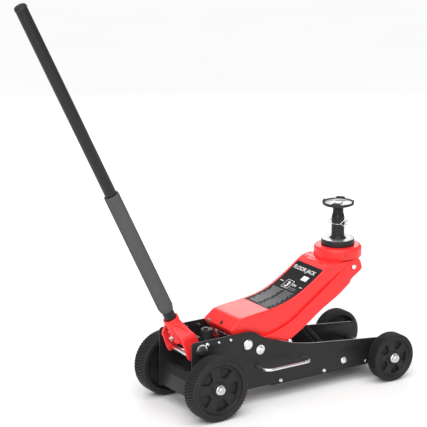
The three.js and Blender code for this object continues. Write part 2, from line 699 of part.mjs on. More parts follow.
function makeHandleSocket() {
  const tubeRadius = 24.5;
  const tube = new THREE.CylinderGeometry(tubeRadius, tubeRadius, SOCKET_RIM - 20, 24);
  tube.rotateX(Math.PI / 2).translate(HANDLE_OFFSET, 0, (SOCKET_RIM + 20) / 2);
  const bore = new THREE.CylinderGeometry(HANDLE_RADIUS + 0.4, HANDLE_RADIUS + 0.4, 120, 24);
  bore.rotateX(Math.PI / 2).translate(HANDLE_OFFSET, 0, 19 + 60);
  const web = new THREE.Shape();
  web.moveTo(-CHEEK_OUTER_Y, 14);
  web.lineTo(CHEEK_OUTER_Y, 14);
  web.lineTo(CHEEK_OUTER_Y - 6, 32);
  web.lineTo(20, SOCKET_RIM - 8);
  web.lineTo(-20, SOCKET_RIM - 8);
  web.lineTo(-CHEEK_OUTER_Y + 6, 32);
  web.closePath();
  const webPlate = new THREE.ExtrudeGeometry(web, { depth: 10, bevelEnabled: false });
  webPlate.rotateX(Math.PI / 2).rotateZ(Math.PI / 2).translate(10, 0, 0);
  const cheek = outlineOf([[20, 14], [20, 34], [4, 60], [-18, 62], [-34, 30], [-41, -16], [-38, -30],
    [-14, -34], [10, -16]]);
  const clampHole = turnedAlong([[0, -60], [5.4, -60], [5.4, HANDLE_OFFSET], [0, HANDLE_OFFSET]], 14);
  clampHole.translate(0, 0, 42);
  const geometry = carve(
    [
      tube,
      webPlate,
      plateAcross(cheek, -CHEEK_OUTER_Y, -CHEEK_INNER_Y),
      plateAcross(cheek, CHEEK_INNER_Y, CHEEK_OUTER_Y),
    ],
    [
      bore,
      clampHole,
      rodAcross(9 + FIT, -80, 80, { x: 0, z: 0 }, 18),
      rodAcross(5 + FIT, -80, 80, ROLLER, 14),
    ],
  );
  addPart(handleFrame, "handle_socket", geometry, redPaint);

  const clamp = turnedAlong([[0, -42], [9, -42], [9, -33.2], [5, -33.2], [5, -28.5], [0, -28.5]], 12);
  addPart(handleFrame, "socket_clamp_bolt", clamp.translate(0, 0, 42), zinc);
  const rollerHalf = CHEEK_INNER_Y - 1;
  const roller = turnedAcross([[5.3, -rollerHalf], [9, -rollerHalf], [9, rollerHalf], [5.3, rollerHalf],
    [5.3, -rollerHalf]], ROLLER, 18);
  addPart(handleFrame, "pump_roller", roller, zinc);
  addPart(handleFrame, "roller_pin", rodAcross(5, -CHEEK_OUTER_Y, CHEEK_OUTER_Y, ROLLER, 14), steel);

  const washerRadius = 20.5;
  const washerFace = 102.2;
  const headRadius = washerRadius - 4;
  for (const [label, side] of SIDES) {
    const bolt = turnedAcross([[0, 54.5], [9, 54.5], [9, PLATE_OUTER_Y + FIT],
      [washerRadius, PLATE_OUTER_Y + FIT], [washerRadius, washerFace], [headRadius, washerFace],
      [headRadius, 109], [0, 109]], { x: 0, z: 0 }, 18);
    if (side < 0) {
      bolt.rotateZ(Math.PI);
    }
    const mesh = addPart(jack, `handle_pivot_bolt_${label}`, bolt, zinc);
    mesh.position.set(SOCKET_PIVOT.x, 0, SOCKET_PIVOT.z);
  }
}

function tubeAlongHandle(outer, inner, from, to, segments) {
  const profile = [[inner, from], [outer, from], [outer, to], [inner, to], [inner, from]];
  return turnedUpright(profile, segments).translate(HANDLE_OFFSET, 0, 0);
}

function makeHandle() {
  const wall = 2.5;
  const split = 590;
  const top = 1277;
  const bore = HANDLE_RADIUS - wall;
  const lower = tubeAlongHandle(HANDLE_RADIUS, bore, 20, split, 24);
  addPart(handleFrame, "handle_lower_tube", lower, blackPaint);
  const upper = tubeAlongHandle(HANDLE_RADIUS, bore, split + FIT, top, 24);
  addPart(handleFrame, "handle_upper_tube", upper, blackPaint);
  const sleeve = turnedUpright([[HANDLE_RADIUS + FIT, 139], [22.4, 139], [25, 152], [25, 594], [22.5, 598],
    [HANDLE_RADIUS + FIT, 598], [HANDLE_RADIUS + FIT, 139]], 24);
  addPart(handleFrame, "handle_foam_sleeve", sleeve.translate(HANDLE_OFFSET, 0, 0), foam);
  const cap = turnedUpright([[0, top - 14], [bore - FIT, top - 14], [bore - FIT, top + FIT],
    [HANDLE_RADIUS + 1, top + FIT], [HANDLE_RADIUS + 1, 1287], [HANDLE_RADIUS - 3, 1290], [0, 1290]], 20);
  addPart(handleFrame, "handle_end_cap", cap.translate(HANDLE_OFFSET, 0, 0), plastic);
}

// ---------------------------------------------------------------- assembly

makeChassisPlates();
makeSkidPlate();
makeRearCrossPanel();
makeTieRods();
makeGrabHandles();
makeRunningGear();
makePumpBlock();
makeReservoir();
addPart(jack, "cylinder_trunnion_pin", rodAcross(9, -47, 47, TRUNNION, 18), steel);
makeRam();
makePump();
makeArmPlates();
makeArmShell();
makeArmPins();
makeReturnSprings();
makeLevelingLinks();
makeSaddleYoke();
makeSaddle();
makeLockPin();
makeHandleSocket();
makeHandle();

export default part;
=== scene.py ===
import math

import bpy
import bmesh
from mathutils import Matrix, Vector


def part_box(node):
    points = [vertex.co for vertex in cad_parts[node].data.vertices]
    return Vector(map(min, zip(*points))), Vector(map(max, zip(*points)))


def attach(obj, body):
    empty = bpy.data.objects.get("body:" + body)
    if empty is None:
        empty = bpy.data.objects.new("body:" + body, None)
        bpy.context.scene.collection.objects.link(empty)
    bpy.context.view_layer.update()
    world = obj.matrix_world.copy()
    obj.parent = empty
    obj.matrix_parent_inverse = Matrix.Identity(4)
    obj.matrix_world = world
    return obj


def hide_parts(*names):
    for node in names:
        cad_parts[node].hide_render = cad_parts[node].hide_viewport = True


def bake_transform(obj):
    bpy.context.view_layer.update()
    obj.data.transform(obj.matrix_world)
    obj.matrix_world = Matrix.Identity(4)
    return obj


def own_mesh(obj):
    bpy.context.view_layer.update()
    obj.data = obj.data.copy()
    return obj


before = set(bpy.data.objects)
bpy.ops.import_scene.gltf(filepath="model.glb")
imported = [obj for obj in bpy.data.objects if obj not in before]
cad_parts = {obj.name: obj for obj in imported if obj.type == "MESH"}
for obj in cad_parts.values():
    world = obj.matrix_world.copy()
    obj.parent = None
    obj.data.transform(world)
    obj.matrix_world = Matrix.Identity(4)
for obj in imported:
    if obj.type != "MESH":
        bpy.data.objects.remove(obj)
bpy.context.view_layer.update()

# Hydraulic floor jack. Lengths below are in millimetres, X from the rear axle, Z from the ground.

MM = 0.001
axle_low, axle_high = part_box("rear_axle")
AXLE_X = (axle_low.x + axle_high.x) / 2
TO_ROW = Matrix.Translation((AXLE_X, 0, 0)) @ Matrix.Scale(MM, 4)
SIDES = (("right", -1), ("left", 1))

ARM_PIVOT = (157.4, 209.5)
ARM_FRONT = (594, 397)
LINK_OFFSET = (-2, -36)
RAM_PIN = (290, 180)
TRUNNION = (92, 104)
SPRING_ROD = (400, 240)
SPACER_ROD = (546.3, 82.2)
STOP_BOLT = (206.2, 184.1)
SOCKET_PIVOT = (-20.9, 223)
ROLLER = (-22, -22)
SADDLE_X = 588.5
COLLAR_TOP = 458
HANDLE_OFFSET = -8
LOCK_PIN_Z = 533
PLATE_OUTER_Y = 99.8
PLATE_INNER_Y = 94.8
REAR_RADIUS = 107.5
FRONT_RADIUS = 82
FRONT_AXLE_X = 702

# Frames that the handle, saddle and pump plunger are drawn in.
HANDLE = (Matrix.Translation((SOCKET_PIVOT[0], 0, SOCKET_PIVOT[1]))
          @ Matrix.Rotation(math.radians(-26.1), 4, "Y"))
SADDLE = Matrix.Translation((SADDLE_X, 0, 0)) @ Matrix.Rotation(math.radians(-45), 4, "Z")
PLUNGER = Matrix.Translation((-21.4, 0, 191.7)) @ Matrix.Rotation(math.radians(10), 4, "Y")

# ---------------------------------------------------------------- camera and light

scene = bpy.context.scene
scene.view_settings.view_transform = "Standard"


def aim(obj, target):
    obj.rotation_euler = (Vector(target) - obj.location).to_track_quat("-Z", "Y").to_euler()


camera_data = bpy.data.cameras.new("camera")
camera_data.sensor_width = 36
camera_data.lens = 181.9
camera = bpy.data.objects.new("camera", camera_data)
scene.collection.objects.link(camera)
AZIMUTH, ELEVATION, DISTANCE = math.radians(-33.31), math.radians(15.42), 6.932
TARGET = Vector((0.0044, 0, 0.6383))
camera.location = TARGET + DISTANCE * Vector((
    math.sin(AZIMUTH) * math.cos(ELEVATION), -math.cos(AZIMUTH) * math.cos(ELEVATION), math.sin(ELEVATION)))
aim(camera, TARGET)
scene.camera = camera


def area_light(name, place, target, size, watts):
    data = bpy.data.lights.new(name, "AREA")
    data.shape = "RECTANGLE"
    data.size, data.size_y = size
    data.energy = watts
    light = bpy.data.objects.new(name, data)
    scene.collection.objects.link(light)
    light.location = place
    aim(light, target)
    return light


area_light("near_light", (-2.6, -3.2, 2.2), (0.1, 0, 0.3), (2.2, 2.0), 55)
area_light("far_panel", (1.9, 3.3, 2.1), (-0.05, 0, 0.3), (2.6, 1.5), 42)
sun_data = bpy.data.lights.new("sky_softbox", "SUN")
sun_data.energy = 2.3
sun_data.angle = math.radians(70)
sun = bpy.data.objects.new("sky_softbox", sun_data)
scene.collection.objects.link(sun)
sun.location = (-1.5, -2.2, 5)
aim(sun, (0, 0, 0))

world = bpy.data.worlds.new("studio")
scene.world = world
world.use_nodes = True
background = world.node_tree.nodes["Background"]
background.inputs["Color"].default_value = (1, 1, 1, 1)
background.inputs["Strength"].default_value = 0.42

# ---------------------------------------------------------------- materials


def node(tree, kind, inputs, **settings):
    made = tree.nodes.new(kind)
    for key, value in settings.items():
        setattr(made, key, value)
    for key, value in inputs.items():
        made.inputs[key].default_value = value
    return made


def finish(name, base, rough, metallic=0.0, shade=0.12, grain=400.0, bump=0.05, mottle=6.0, coat=0.0,
           scuff=None, scuff_amount=0.0, rough_spread=0.12, shine=0.3):
    """A worn surface: its colour drifts with slow mottling, scuffs lighten it, grain breaks the gloss."""
    material = bpy.data.materials.new(name)
    material.use_nodes = True
    tree = material.node_tree
    shader = tree.nodes["Principled BSDF"]
    for key, value in (("Metallic", metallic), ("Coat Weight", coat), ("Specular IOR Level", shine),
                       ("Coat Roughness", 0.12)):
        shader.inputs[key].default_value = value
    where = node(tree, "ShaderNodeTexCoord", {}).outputs["Object"]

    slow = node(tree, "ShaderNodeTexNoise", {"Scale": mottle, "Detail": 5})
    tree.links.new(where, slow.inputs["Vector"])
    dark, light = [c * (1 - shade) for c in base], [min(1, c * (1 + shade)) for c in base]
    tone = node(tree, "ShaderNodeMix", {}, data_type="RGBA")
    tone.inputs["A"].default_value = (*dark, 1)
    tone.inputs["B"].default_value = (*light, 1)
    tree.links.new(slow.outputs["Fac"], tone.inputs["Factor"])
    colour = tone.outputs["Result"]

    fine = node(tree, "ShaderNodeTexNoise", {"Scale": grain, "Detail": 3})
    tree.links.new(where, fine.inputs["Vector"])
    if scuff is not None:
        patches = node(tree, "ShaderNodeTexNoise", {"Scale": 38, "Detail": 9, "Roughness": 0.72})
        tree.links.new(where, patches.inputs["Vector"])
        ramp = node(tree, "ShaderNodeMapRange",
                    {"From Min": 0.62, "From Max": 0.78, "To Min": 0, "To Max": scuff_amount})
        tree.links.new(patches.outputs["Fac"], ramp.inputs["Value"])
        worn = node(tree, "ShaderNodeMix", {}, data_type="RGBA")
        worn.inputs["B"].default_value = (*scuff, 1)
        tree.links.new(ramp.outputs["Result"], worn.inputs["Factor"])
        tree.links.new(colour, worn.inputs["A"])
        colour = worn.outputs["Result"]
    tree.links.new(colour, shader.inputs["Base Color"])

    gloss = node(tree, "ShaderNodeMapRange",
                 {"To Min": max(0.04, rough - rough_spread), "To Max": min(1, rough + rough_spread)})
    tree.links.new(slow.outputs["Fac"], gloss.inputs["Value"])
    tree.links.new(gloss.outputs["Result"], shader.inputs["Roughness"])

    relief = node(tree, "ShaderNodeBump", {"Strength": bump, "Distance": 0.001})
    tree.links.new(fine.outputs["Fac"], relief.inputs["Height"])
    tree.links.new(relief.outputs["Normal"], shader.inputs["Normal"])
    return material


RED = finish("red_powder_coat", (0.93, 0.028, 0.028), 0.36, shade=0.04, grain=260, bump=0.10, coat=0.12,
             scuff=(0.95, 0.12, 0.10), scuff_amount=0.10, shine=0.35)
BLACK = finish("black_powder_coat", (0.017, 0.017, 0.018), 0.42, shade=0.2, grain=420, bump=0.14, coat=0.1,
               shine=0.22,
               scuff=(0.09, 0.09, 0.095), scuff_amount=0.3)
ZINC = finish("bright_zinc", (0.80, 0.81, 0.82), 0.22, metallic=1, shade=0.08, grain=900, bump=0.05,
              mottle=30,
              scuff=(0.95, 0.93, 0.85), scuff_amount=0.4)
STEEL = finish("ground_steel", (0.55, 0.56, 0.57), 0.3, metallic=1, shade=0.12, grain=1200, bump=0.06,
               mottle=24,
               scuff=(0.34, 0.31, 0.28), scuff_amount=0.3)
# Pale steel for the saddle's upward faces: partly bare metal, partly a painted highlight and reflection of the
# light those faces catch.
SHEEN_PAINTED_STEEL = finish("steel_with_painted_sheen", (0.5, 0.51, 0.52), 0.42, metallic=0.8, shade=0.14, grain=900,
                    bump=0.05, mottle=22, scuff=(0.45, 0.44, 0.43), scuff_amount=0.35)
IRON = finish("cast_iron", (0.03, 0.03, 0.032), 0.5, metallic=0.2, shade=0.25, grain=520, bump=0.35,
              scuff=(0.12, 0.12, 0.125), scuff_amount=0.4)
COMPOSITE = finish("wheel_composite", (0.020, 0.019, 0.019), 0.5, shine=0.24, shade=0.25, grain=700, bump=0.2,
                   scuff=(0.10, 0.095, 0.09), scuff_amount=0.5)
FOAM = finish("handle_foam", (0.088, 0.088, 0.088), 0.94, shade=0.12, grain=1500, bump=0.55, mottle=18,
              rough_spread=0.04, scuff=(0.15, 0.15, 0.15), scuff_amount=0.3)
PLASTIC = finish("black_plastic", (0.018, 0.018, 0.019), 0.42, shade=0.2, grain=800, bump=0.12,
                 scuff=(0.06, 0.06, 0.06), scuff_amount=0.3)
DARK_SPRING = finish("blackened_spring", (0.03, 0.03, 0.032), 0.5, metallic=0.3, shade=0.2, grain=1200,
                     bump=0.05,
                     mottle=40)
SPRING = finish("spring_steel", (0.5, 0.5, 0.51), 0.32, metallic=1, shade=0.14, grain=1200, bump=0.05,
                mottle=40)
OLIVE = finish("passivated_zinc", (0.42, 0.43, 0.34), 0.4, metallic=0.7, shade=0.2, grain=900, bump=0.1,
               mottle=40)
DARK_BOLT = finish("blackened_bolt", (0.055, 0.056, 0.058), 0.36, metallic=0.6, shade=0.25, grain=900,
                   bump=0.1,
                   mottle=40, scuff=(0.3, 0.3, 0.3), scuff_amount=0.4)
LABEL_BLACK = finish("label_black", (0.010, 0.010, 0.011), 0.5, shade=0.2, grain=500, bump=0.03, shine=0.1)
LABEL_GREY = finish("label_grey", (0.13, 0.13, 0.135), 0.4, shade=0.2, grain=500, bump=0.03)
LABEL_WHITE = finish("label_white", (0.82, 0.82, 0.82), 0.4, shade=0.04, grain=500, bump=0.03)
# Pale grey for the side plates' top edges: a painted highlight standing in for the light the edge catches.
PAINTED_EDGE_HIGHLIGHT = finish("painted_edge_highlight", (0.42, 0.4, 0.4), 0.5, metallic=0.2, shade=0.3, grain=500, mottle=14)

SLOT_MATERIALS = {
    "black_paint": BLACK, "red_paint": RED, "zinc": ZINC, "steel": STEEL, "cast_iron": IRON,
    "wheel_composite": COMPOSITE, "foam": FOAM, "plastic": PLASTIC, "spring_steel": SPRING,
}
OWN_SLOTS = {material.name: slot for slot, material in SLOT_MATERIALS.items()}

# ---------------------------------------------------------------- mesh making
# A form is (points, faces) in millimetres.


def moved(form, matrix):
    points, faces = form
    return [tuple(matrix @ Vector(p)) for p in points], faces


def joined(*forms):
    points, faces = [], []
    for more_points, more_faces in forms:
        start = len(points)
        points += more_points
        faces += [tuple(i + start for i in face) for face in more_faces]
    return points, faces


def at(x, y, z):
    return Matrix.Translation((x, y, z))


def outwards(x, z, side):
    """Turns a form's own +Z to point away from the jack's middle, along Y, through (x, z)."""
    return at(x, 0, z) @ Matrix.Rotation(-side * math.pi / 2, 4, "X")


def softened(profile, radius, steps=3, closed=False):
    """The same outline with its corners rounded."""
    count = len(profile)
    result = []
    for i, (x, y) in enumerate(profile):
        if not closed and i in (0, count - 1):
            result.append((x, y))
            continue
        corner = Vector((x, y))
        before, after = Vector(profile[i - 1]) - corner, Vector(profile[(i + 1) % count]) - corner
        reach = min(radius, before.length * 0.45, after.length * 0.45)
        if reach < 0.05 or before.length < 1e-6 or after.length < 1e-6:
            result.append((x, y))
            continue
        start, end = corner + before.normalized() * reach, corner + after.normalized() * reach
        for k in range(steps + 1):
            t = k / steps
            bend = start * (1 - t) ** 2 + corner * 2 * t * (1 - t) + end * t * t
            result.append((bend.x, bend.y))
    return result


def turned(profile, segments=64, closed=False, warp=None):
    """A form turned about Z from points (radius, height); warp may change the radius of any point."""
    points, faces, rings = [], [], []
    for j, (radius, height) in enumerate(profile):
        if radius < 1e-6:
            rings.append([len(points)])
            points.append((0, 0, height))
            continue
        ring = []
        for i in range(segments):
            angle = 2 * math.pi * i / segments
            r = radius if warp is None else warp(radius, i, j)
            ring.append(len(points))
            points.append((r * math.cos(angle), r * math.sin(angle), height))
        rings.append(ring)
    pairs = list(zip(rings, rings[1:]))
    if closed:
        pairs.append((rings[-1], rings[0]))
    for a, b in pairs:
        for i in range(segments):
            k = (i + 1) % segments
            if len(a) == 1 and len(b) == 1:
                break
            if len(a) == 1:
                faces.append((a[0], b[k], b[i]))
            elif len(b) == 1:
                faces.append((a[i], a[k], b[0]))
            else:
                faces.append((a[i], a[k], b[k], b[i]))
    return points, faces


def faces_between(rows, width, meet=False, round_row=True):
    """Faces between rows of points, width points in each; the last row can meet the first."""
    faces = []
    for j in range(rows if meet else rows - 1):
        here, above = j * width, (j + 1) % rows * width
        for i in range(width if round_row else width - 1):
            k = (i + 1) % width
            faces.append((here + i, here + k, above + k, above + i))
    return faces


def hexagonal(flats, height, bore=0.0, rise=0.0):
    """A hex nut or bolt head, its corners chamfered on top, standing at the height rise."""
    count = 30
    face_edge, inner = flats / 2 * 0.96, bore or 0.01
    angles = [2 * math.pi * i / count for i in range(count)]
    outline = [flats / 2 / math.cos(angle % (math.pi / 3) - math.pi / 6) for angle in angles]
    slope = [height - (reach - face_edge) / 2 for reach in outline]
    low, top = [0] * count, [height] * count
    rings = [([inner] * count, low), (outline, low), (outline, slope), ([face_edge] * count, top),
             ([inner] * count, top)]
    points = [(reach * math.cos(angle), reach * math.sin(angle), z)
              for ring in rings for angle, reach, z in zip(angles, *ring)]
    return moved((points, faces_between(len(rings), count, bool(bore))), at(0, 0, rise))


def mesh_of(curve):
    """The points and faces of a filled curve or lettering, which is removed."""
    holder = bpy.data.objects.new("holder", curve)
    scene.collection.objects.link(holder)
    bpy.context.view_layer.update()
    mesh = bpy.data.meshes.new_from_object(holder.evaluated_get(bpy.context.evaluated_depsgraph_get()))
    points = [v.co.copy() for v in mesh.vertices]
    faces = [tuple(face.vertices) for face in mesh.polygons]
    bpy.data.objects.remove(holder)
    bpy.data.curves.remove(curve)
    bpy.data.meshes.remove(mesh)
    return points, faces


def plate(outline, low, high, bevel=0.8, holes=(), steps=2):
    """A flat form with eased edges: an outline in (x, z), standing from one y to another."""
    curve = bpy.data.curves.new("plate_outline", "CURVE")
    curve.dimensions = "2D"
    curve.fill_mode = "BOTH"
    curve.extrude = (high - low) / 2 - bevel
    curve.bevel_depth = bevel
    curve.bevel_resolution = steps
    curve.offset = -bevel
    for ring in (outline, *holes):
        spline = curve.splines.new("POLY")
        spline.points.add(len(ring) - 1)
        for point, (x, z) in zip(spline.points, ring):
            point.co = (x, z, 0, 1)
        spline.use_cyclic_u = True
    middle = (low + high) / 2
    points, faces = mesh_of(curve)
    return [(p.x, middle - p.z, p.y) for p in points], faces


def hollow(profile, radius, steps, segments):
    """A ring or tube turned from a closed section with rounded corners."""
    return turned(softened(profile, radius, steps, True), segments, closed=True)


def solid(profile, radius, steps, segments):
    """A form turned from an open section with rounded corners."""
    return turned(softened(profile, radius, steps), segments)


def circle(x, z, radius, count=40):
    return [(x + radius * math.cos(2 * math.pi * i / count), z + radius * math.sin(2 * math.pi * i / count))
            for i in range(count)]


def arc(x, z, radius, start, end, count=12):
    """Points on a circle from one angle to another, in degrees."""
    angles = [math.radians(start + (end - start) * i / (count - 1)) for i in range(count)]
    return [(x + radius * math.cos(a), z + radius * math.sin(a)) for a in angles]


def smooth(a, b, c, d, t):
    """Between b and c, on the curve that also passes a and d."""
    return 0.5 * (2 * b + (c - a) * t + (2 * a - 5 * b + 4 * c - d) * t * t
                  + (3 * b - a - 3 * c + d) * t ** 3)


def through(keys, per_span=6):
    """Points on a smooth curve through the keys."""
    keys = [Vector(k) for k in keys]
    last = len(keys) - 1
    result = []
    for i in range(last):
        near = [keys[min(max(i + k, 0), last)] for k in (-1, 0, 1, 2)]
        result += [smooth(*near, step / per_span) for step in range(per_span)]
    result.append(keys[-1])
    return [tuple(point) for point in result]


def swept(path, radius, sections=14):
    """A round form along a path, its frame carried along without twisting."""
    path = [Vector(p) for p in path]
    count = len(path)
    points, normal = [], None
    for i, place in enumerate(path):
        tangent = (path[min(i + 1, count - 1)] - path[max(i - 1, 0)]).normalized()
        if normal is None:
            normal = tangent.orthogonal().normalized()
        normal = (normal - tangent * normal.dot(tangent)).normalized()
        binormal = tangent.cross(normal)
        for k in range(sections):
            angle = 2 * math.pi * k / sections
            points.append(tuple(place + radius * (math.cos(angle) * normal + math.sin(angle) * binormal)))
    faces = faces_between(count, sections)
    faces.append(tuple(range(sections))[::-1])
    faces.append(tuple((count - 1) * sections + k for k in range(sections)))
    return points, faces


def sheet_of(rows):
    """A form from rows of points, open at its edges."""
    return [tuple(p) for row in rows for p in row], faces_between(len(rows), len(rows[0]), round_row=False)


def slab(rows, backing):
    """A closed wall between two sheets of points of the same size."""
    width, height = len(rows[0]), len(rows)
    back_points, back_faces = sheet_of(backing)
    points, faces = joined(sheet_of(rows), (back_points, [face[::-1] for face in back_faces]))
    offset = width * height
    edge = list(range(width)) + [width * (j + 1) - 1 for j in range(1, height)]
    edge += [width * (height - 1) + i for i in range(width - 2, -1, -1)]
    edge += [width * j for j in range(height - 2, 0, -1)]
    return points, faces + [(b, a, a + offset, b + offset) for a, b in zip(edge, edge[1:] + edge[:1])]


def piece(name, form, material, body, stands_for=(), slot=None, angle=32, thickness=0.0, closed=True,
          merge=True):
    """Puts a form into the scene as one piece of the jack, in place of the CAD nodes it stands for.

    Its slot is its material's own unless another is given.
    """
    points, faces = moved(form, TO_ROW)
    mesh = bpy.data.meshes.new(name)
    mesh.from_pydata(points, [], faces)
    work = bmesh.new()
    work.from_mesh(mesh)
    if merge:
        bmesh.ops.remove_doubles(work, verts=work.verts, dist=1e-6)
    if closed:
        bmesh.ops.recalc_face_normals(work, faces=work.faces)
    work.to_mesh(mesh)
    work.free()
    mesh.shade_smooth()
    mesh.set_sharp_from_angle(angle=math.radians(angle))
    mesh.materials.append(material)
    obj = bpy.data.objects.new(name, mesh)
    scene.collection.objects.link(obj)
    if thickness:
        solid = obj.modifiers.new("thickness", "SOLIDIFY")
        solid.thickness = thickness * MM
        solid.offset = -1
        solid.use_even_offset = False
    bpy.context.view_layer.update()
    if body:
        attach(obj, body)
    if stands_for:
        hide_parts(*stands_for)
    slot = slot or OWN_SLOTS.get(material.name)
    return obj


# ---------------------------------------------------------------- fasteners


def washer(outer, inner, height, at_height=0.0):
    section = [(inner, 0), (outer, 0), (outer, height), (inner, height)]
    return moved(hollow(section, 0.6, 2, 40), at(0, 0, at_height))


def threaded_end(radius, low, high):
    """A stud end with turned thread grooves and a chamfered tip."""
    profile = [(0.0, low), (radius, low)]
    pitch = 1.75
    height = low + pitch
    while height < high - 2 * pitch:
        profile += [(radius, height), (radius - 0.7, height + pitch / 2)]
        height += pitch
    profile += [(radius, high - 1.6), (radius - 1.4, high), (0.0, high)]
    return turned(profile, 28)


def domed_screw(radius, height):
    """A low round head with a hex socket."""
    profile = [(0, 0), (radius, 0), (radius, height * 0.45), (radius * 0.6, height), (0, height)]
    socket = turned([(radius * 0.34, height * 0.98), (radius * 0.34, height * 1.04), (0, height * 0.8)], 6)
    return joined(solid(profile, 1.4, 3, 32), socket)


# ---------------------------------------------------------------- chassis


FRONT_EDGE = through([(285, 200), (308, 192.5), (339, 182), (405, 168.5), (472, 160.5), (562, 150),
                      (650, 140.5), (722, 132.7)], 3)


def side_plate_outline():
    top = 252.5
    points = [(-58, 54)]
    points += arc(-46, top - 12, 12, 180, 90, 8)
    points += [(60, top), (150, top)]
    a, b, c, d = Vector((160, top)), Vector((198, 250)), Vector((205, 222)), Vector((265, 207))
    steps = 14
    for i in range(1, steps + 1):
        t = i / steps
        spot = a * (1 - t) ** 3 + 3 * b * t * (1 - t) ** 2 + 3 * c * t * t * (1 - t) + d * t ** 3
        points.append((spot.x, spot.y))
    points += FRONT_EDGE
    points += softened([(722, 132.7), (748, 130), (748, 54), (700, 54)], 24, 6)[1:]
    return points


for label, side in SIDES:
    low, high = sorted((side * PLATE_INNER_Y, side * PLATE_OUTER_Y))
    holes = [circle(*ARM_PIVOT, 15.2), circle(*SOCKET_PIVOT, 9.2), circle(0, REAR_RADIUS, 10.3),
             circle(FRONT_AXLE_X, FRONT_RADIUS, 10.3), circle(*STOP_BOLT, 6.2), circle(*SPACER_ROD, 7.2)]
    piece(f"side_plate_{label}_pressed", plate(side_plate_outline(), low, high, 1.1, holes), BLACK, "chassis",
          [f"side_plate_{label}"])
    face = at(0, side * PLATE_OUTER_Y, 0)
    small = [moved(domed_screw(radius, 4.2), face @ outwards(x, z, side))
             for x, z, radius in ((1.1, 238.8, 7), (44.8, 237.9, 4.8), (90.6, 237.7, 5.2))]
    piece(f"plate_screws_{label}", joined(*small), ZINC, "chassis")
    skid_bolt = joined(washer(6, 3, 1), hexagonal(8.6, 4, rise=1))
    low_bolts = [moved(skid_bolt, face @ outwards(x, 61.4, side)) for x in (465.6, 288.9, 640)]
    piece(f"skid_bolts_{label}", joined(*low_bolts), ZINC, "chassis")
    inner_face = at(0, side * (PLATE_INNER_Y - 0.2), 0)
    nuts = [moved(hexagonal(9.5, 4), inner_face @ outwards(x, z, -side))
            for x, z in ((44.8, 237.9), (90.6, 237.7))]
    nuts.append(moved(domed_screw(6.4, 4.4), at(330, side * 90.2, 190.5)))
    tab = [(323, 180), (337, 176), (337, 190.4), (323, 190.4)]
    nuts.append(plate(tab, *sorted((side * 94.6, side * 86.4)), 0.5))
    piece(f"plate_inner_nuts_{label}", joined(*nuts), ZINC, "chassis")
    # A thin pale strip along the plate's sloping top edge: painted highlight of the light that edge catches, not
    # worn paint.
    rim = [(x, z + 0.35) for x, z in FRONT_EDGE] + [(x, z - 0.5) for x, z in FRONT_EDGE[::-1]]
    rim_low, rim_high = sorted((side * (PLATE_INNER_Y + 0.9), side * (PLATE_OUTER_Y - 0.9)))
    piece(f"plate_painted_highlight_edge_{label}", plate(rim, rim_low, rim_high, 0.1), PAINTED_EDGE_HIGHLIGHT, "chassis",
          slot="black_paint")

# Tray below the frame, with its rear and front lips turned up.
tray_floor = softened([(248, -99.4), (742, -99.4), (742, 99.4), (248, 99.4)], 10, 5, True)
lip = [(248, 52), (742, 52), (742, 66), (738, 70), (252, 70), (248, 66)]
tray = [moved(plate(tray_floor, -53.7, -49.3, 0.8), Matrix.Rotation(-math.pi / 2, 4, "X")),
        plate(lip, -92.75, -89.25, 0.8), plate(lip, 89.25, 92.75, 0.8)]
piece("skid_plate_pressed", joined(*tray), BLACK, "chassis", ["skid_plate"])

panel = [(-54, 58), (-54, 112), (-43, 138), (-39.2, 136.4), (-50, 111), (-50, 58)]
panel_form = plate(softened(panel, 2.5, 3, True), -94.4, 94.4, 0.6)
piece("rear_cross_panel_bent", panel_form, BLACK, "chassis", ["rear_cross_panel"])
back = Matrix.Rotation(-math.pi / 2, 4, "Y")
piece("cross_panel_screw", moved(domed_screw(5, 3.6), at(-54, -62, 106) @ back), ZINC, "chassis")

rod = solid([(0, -106), (7, -106), (7, 106), (0, 106)], 1.2, 2, 32)
spacer_nut = joined(washer(11.5, 7, 1.8), hexagonal(17, 4.4, 7, rise=1.8))
spacer_ends = [moved(spacer_nut, at(0, side * PLATE_OUTER_Y, 0) @ outwards(*SPACER_ROD, side))
               for _, side in SIDES]
piece("front_spacer_tie", joined(moved(rod, outwards(*SPACER_ROD, 1)), *spacer_ends), ZINC, "chassis",
      ["front_spacer_rod"])

for label, side in SIDES:
    bolt = joined(
        turned([(0, 87.3), (6, 87.3), (6, 100), (0, 100)], 28),
        hexagonal(19, 7, 6, rise=87.4),
        washer(16.5, 5.8, 2.6, 100),
        hexagonal(19, 6.4, 5.6, rise=102.6),
        threaded_end(6, 102, 112),
    )
    piece(f"stop_bolt_{label}_turned", moved(bolt, outwards(*STOP_BOLT, side)), ZINC, "chassis",
          [f"stop_bolt_{label}"])

# Lifting bars: bent rod with a collar at each foot.
for label, side in SIDES:
    reach, bend, foot_y = 157, 24, PLATE_OUTER_Y + 0.3
    rear_foot, front_foot = (193, 129), (375, 129.5)
    turns = (arc(rear_foot[0] + bend, reach - bend, bend, 180, 90, 9),
             arc(front_foot[0] - bend, reach - bend, bend, 90, 0, 9))
    path = [(x, side * y, z) for (_, z), turn in zip((rear_foot, front_foot), turns) for x, y in turn]
    path = [(rear_foot[0], side * foot_y, rear_foot[1])] + path
    path.append((front_foot[0], side * foot_y, front_foot[1]))
    foot = hollow([(5.2, 0), (9, 0), (9, 2), (7, 3.4), (5.2, 3.4)], 0.6, 2, 36)
    collars = [moved(foot, at(0, side * foot_y, 0) @ outwards(x, z, side))
               for x, z in (rear_foot, front_foot)]
    piece(f"grab_handle_{label}_bent", swept(path, 4.8, 20), ZINC, "chassis", [f"grab_handle_{label}"])
    piece(f"grab_handle_{label}_collars", joined(*collars), BLACK, "chassis")

# ---------------------------------------------------------------- wheels

WEB_Y = 170
HUB_FACE_Y = 176


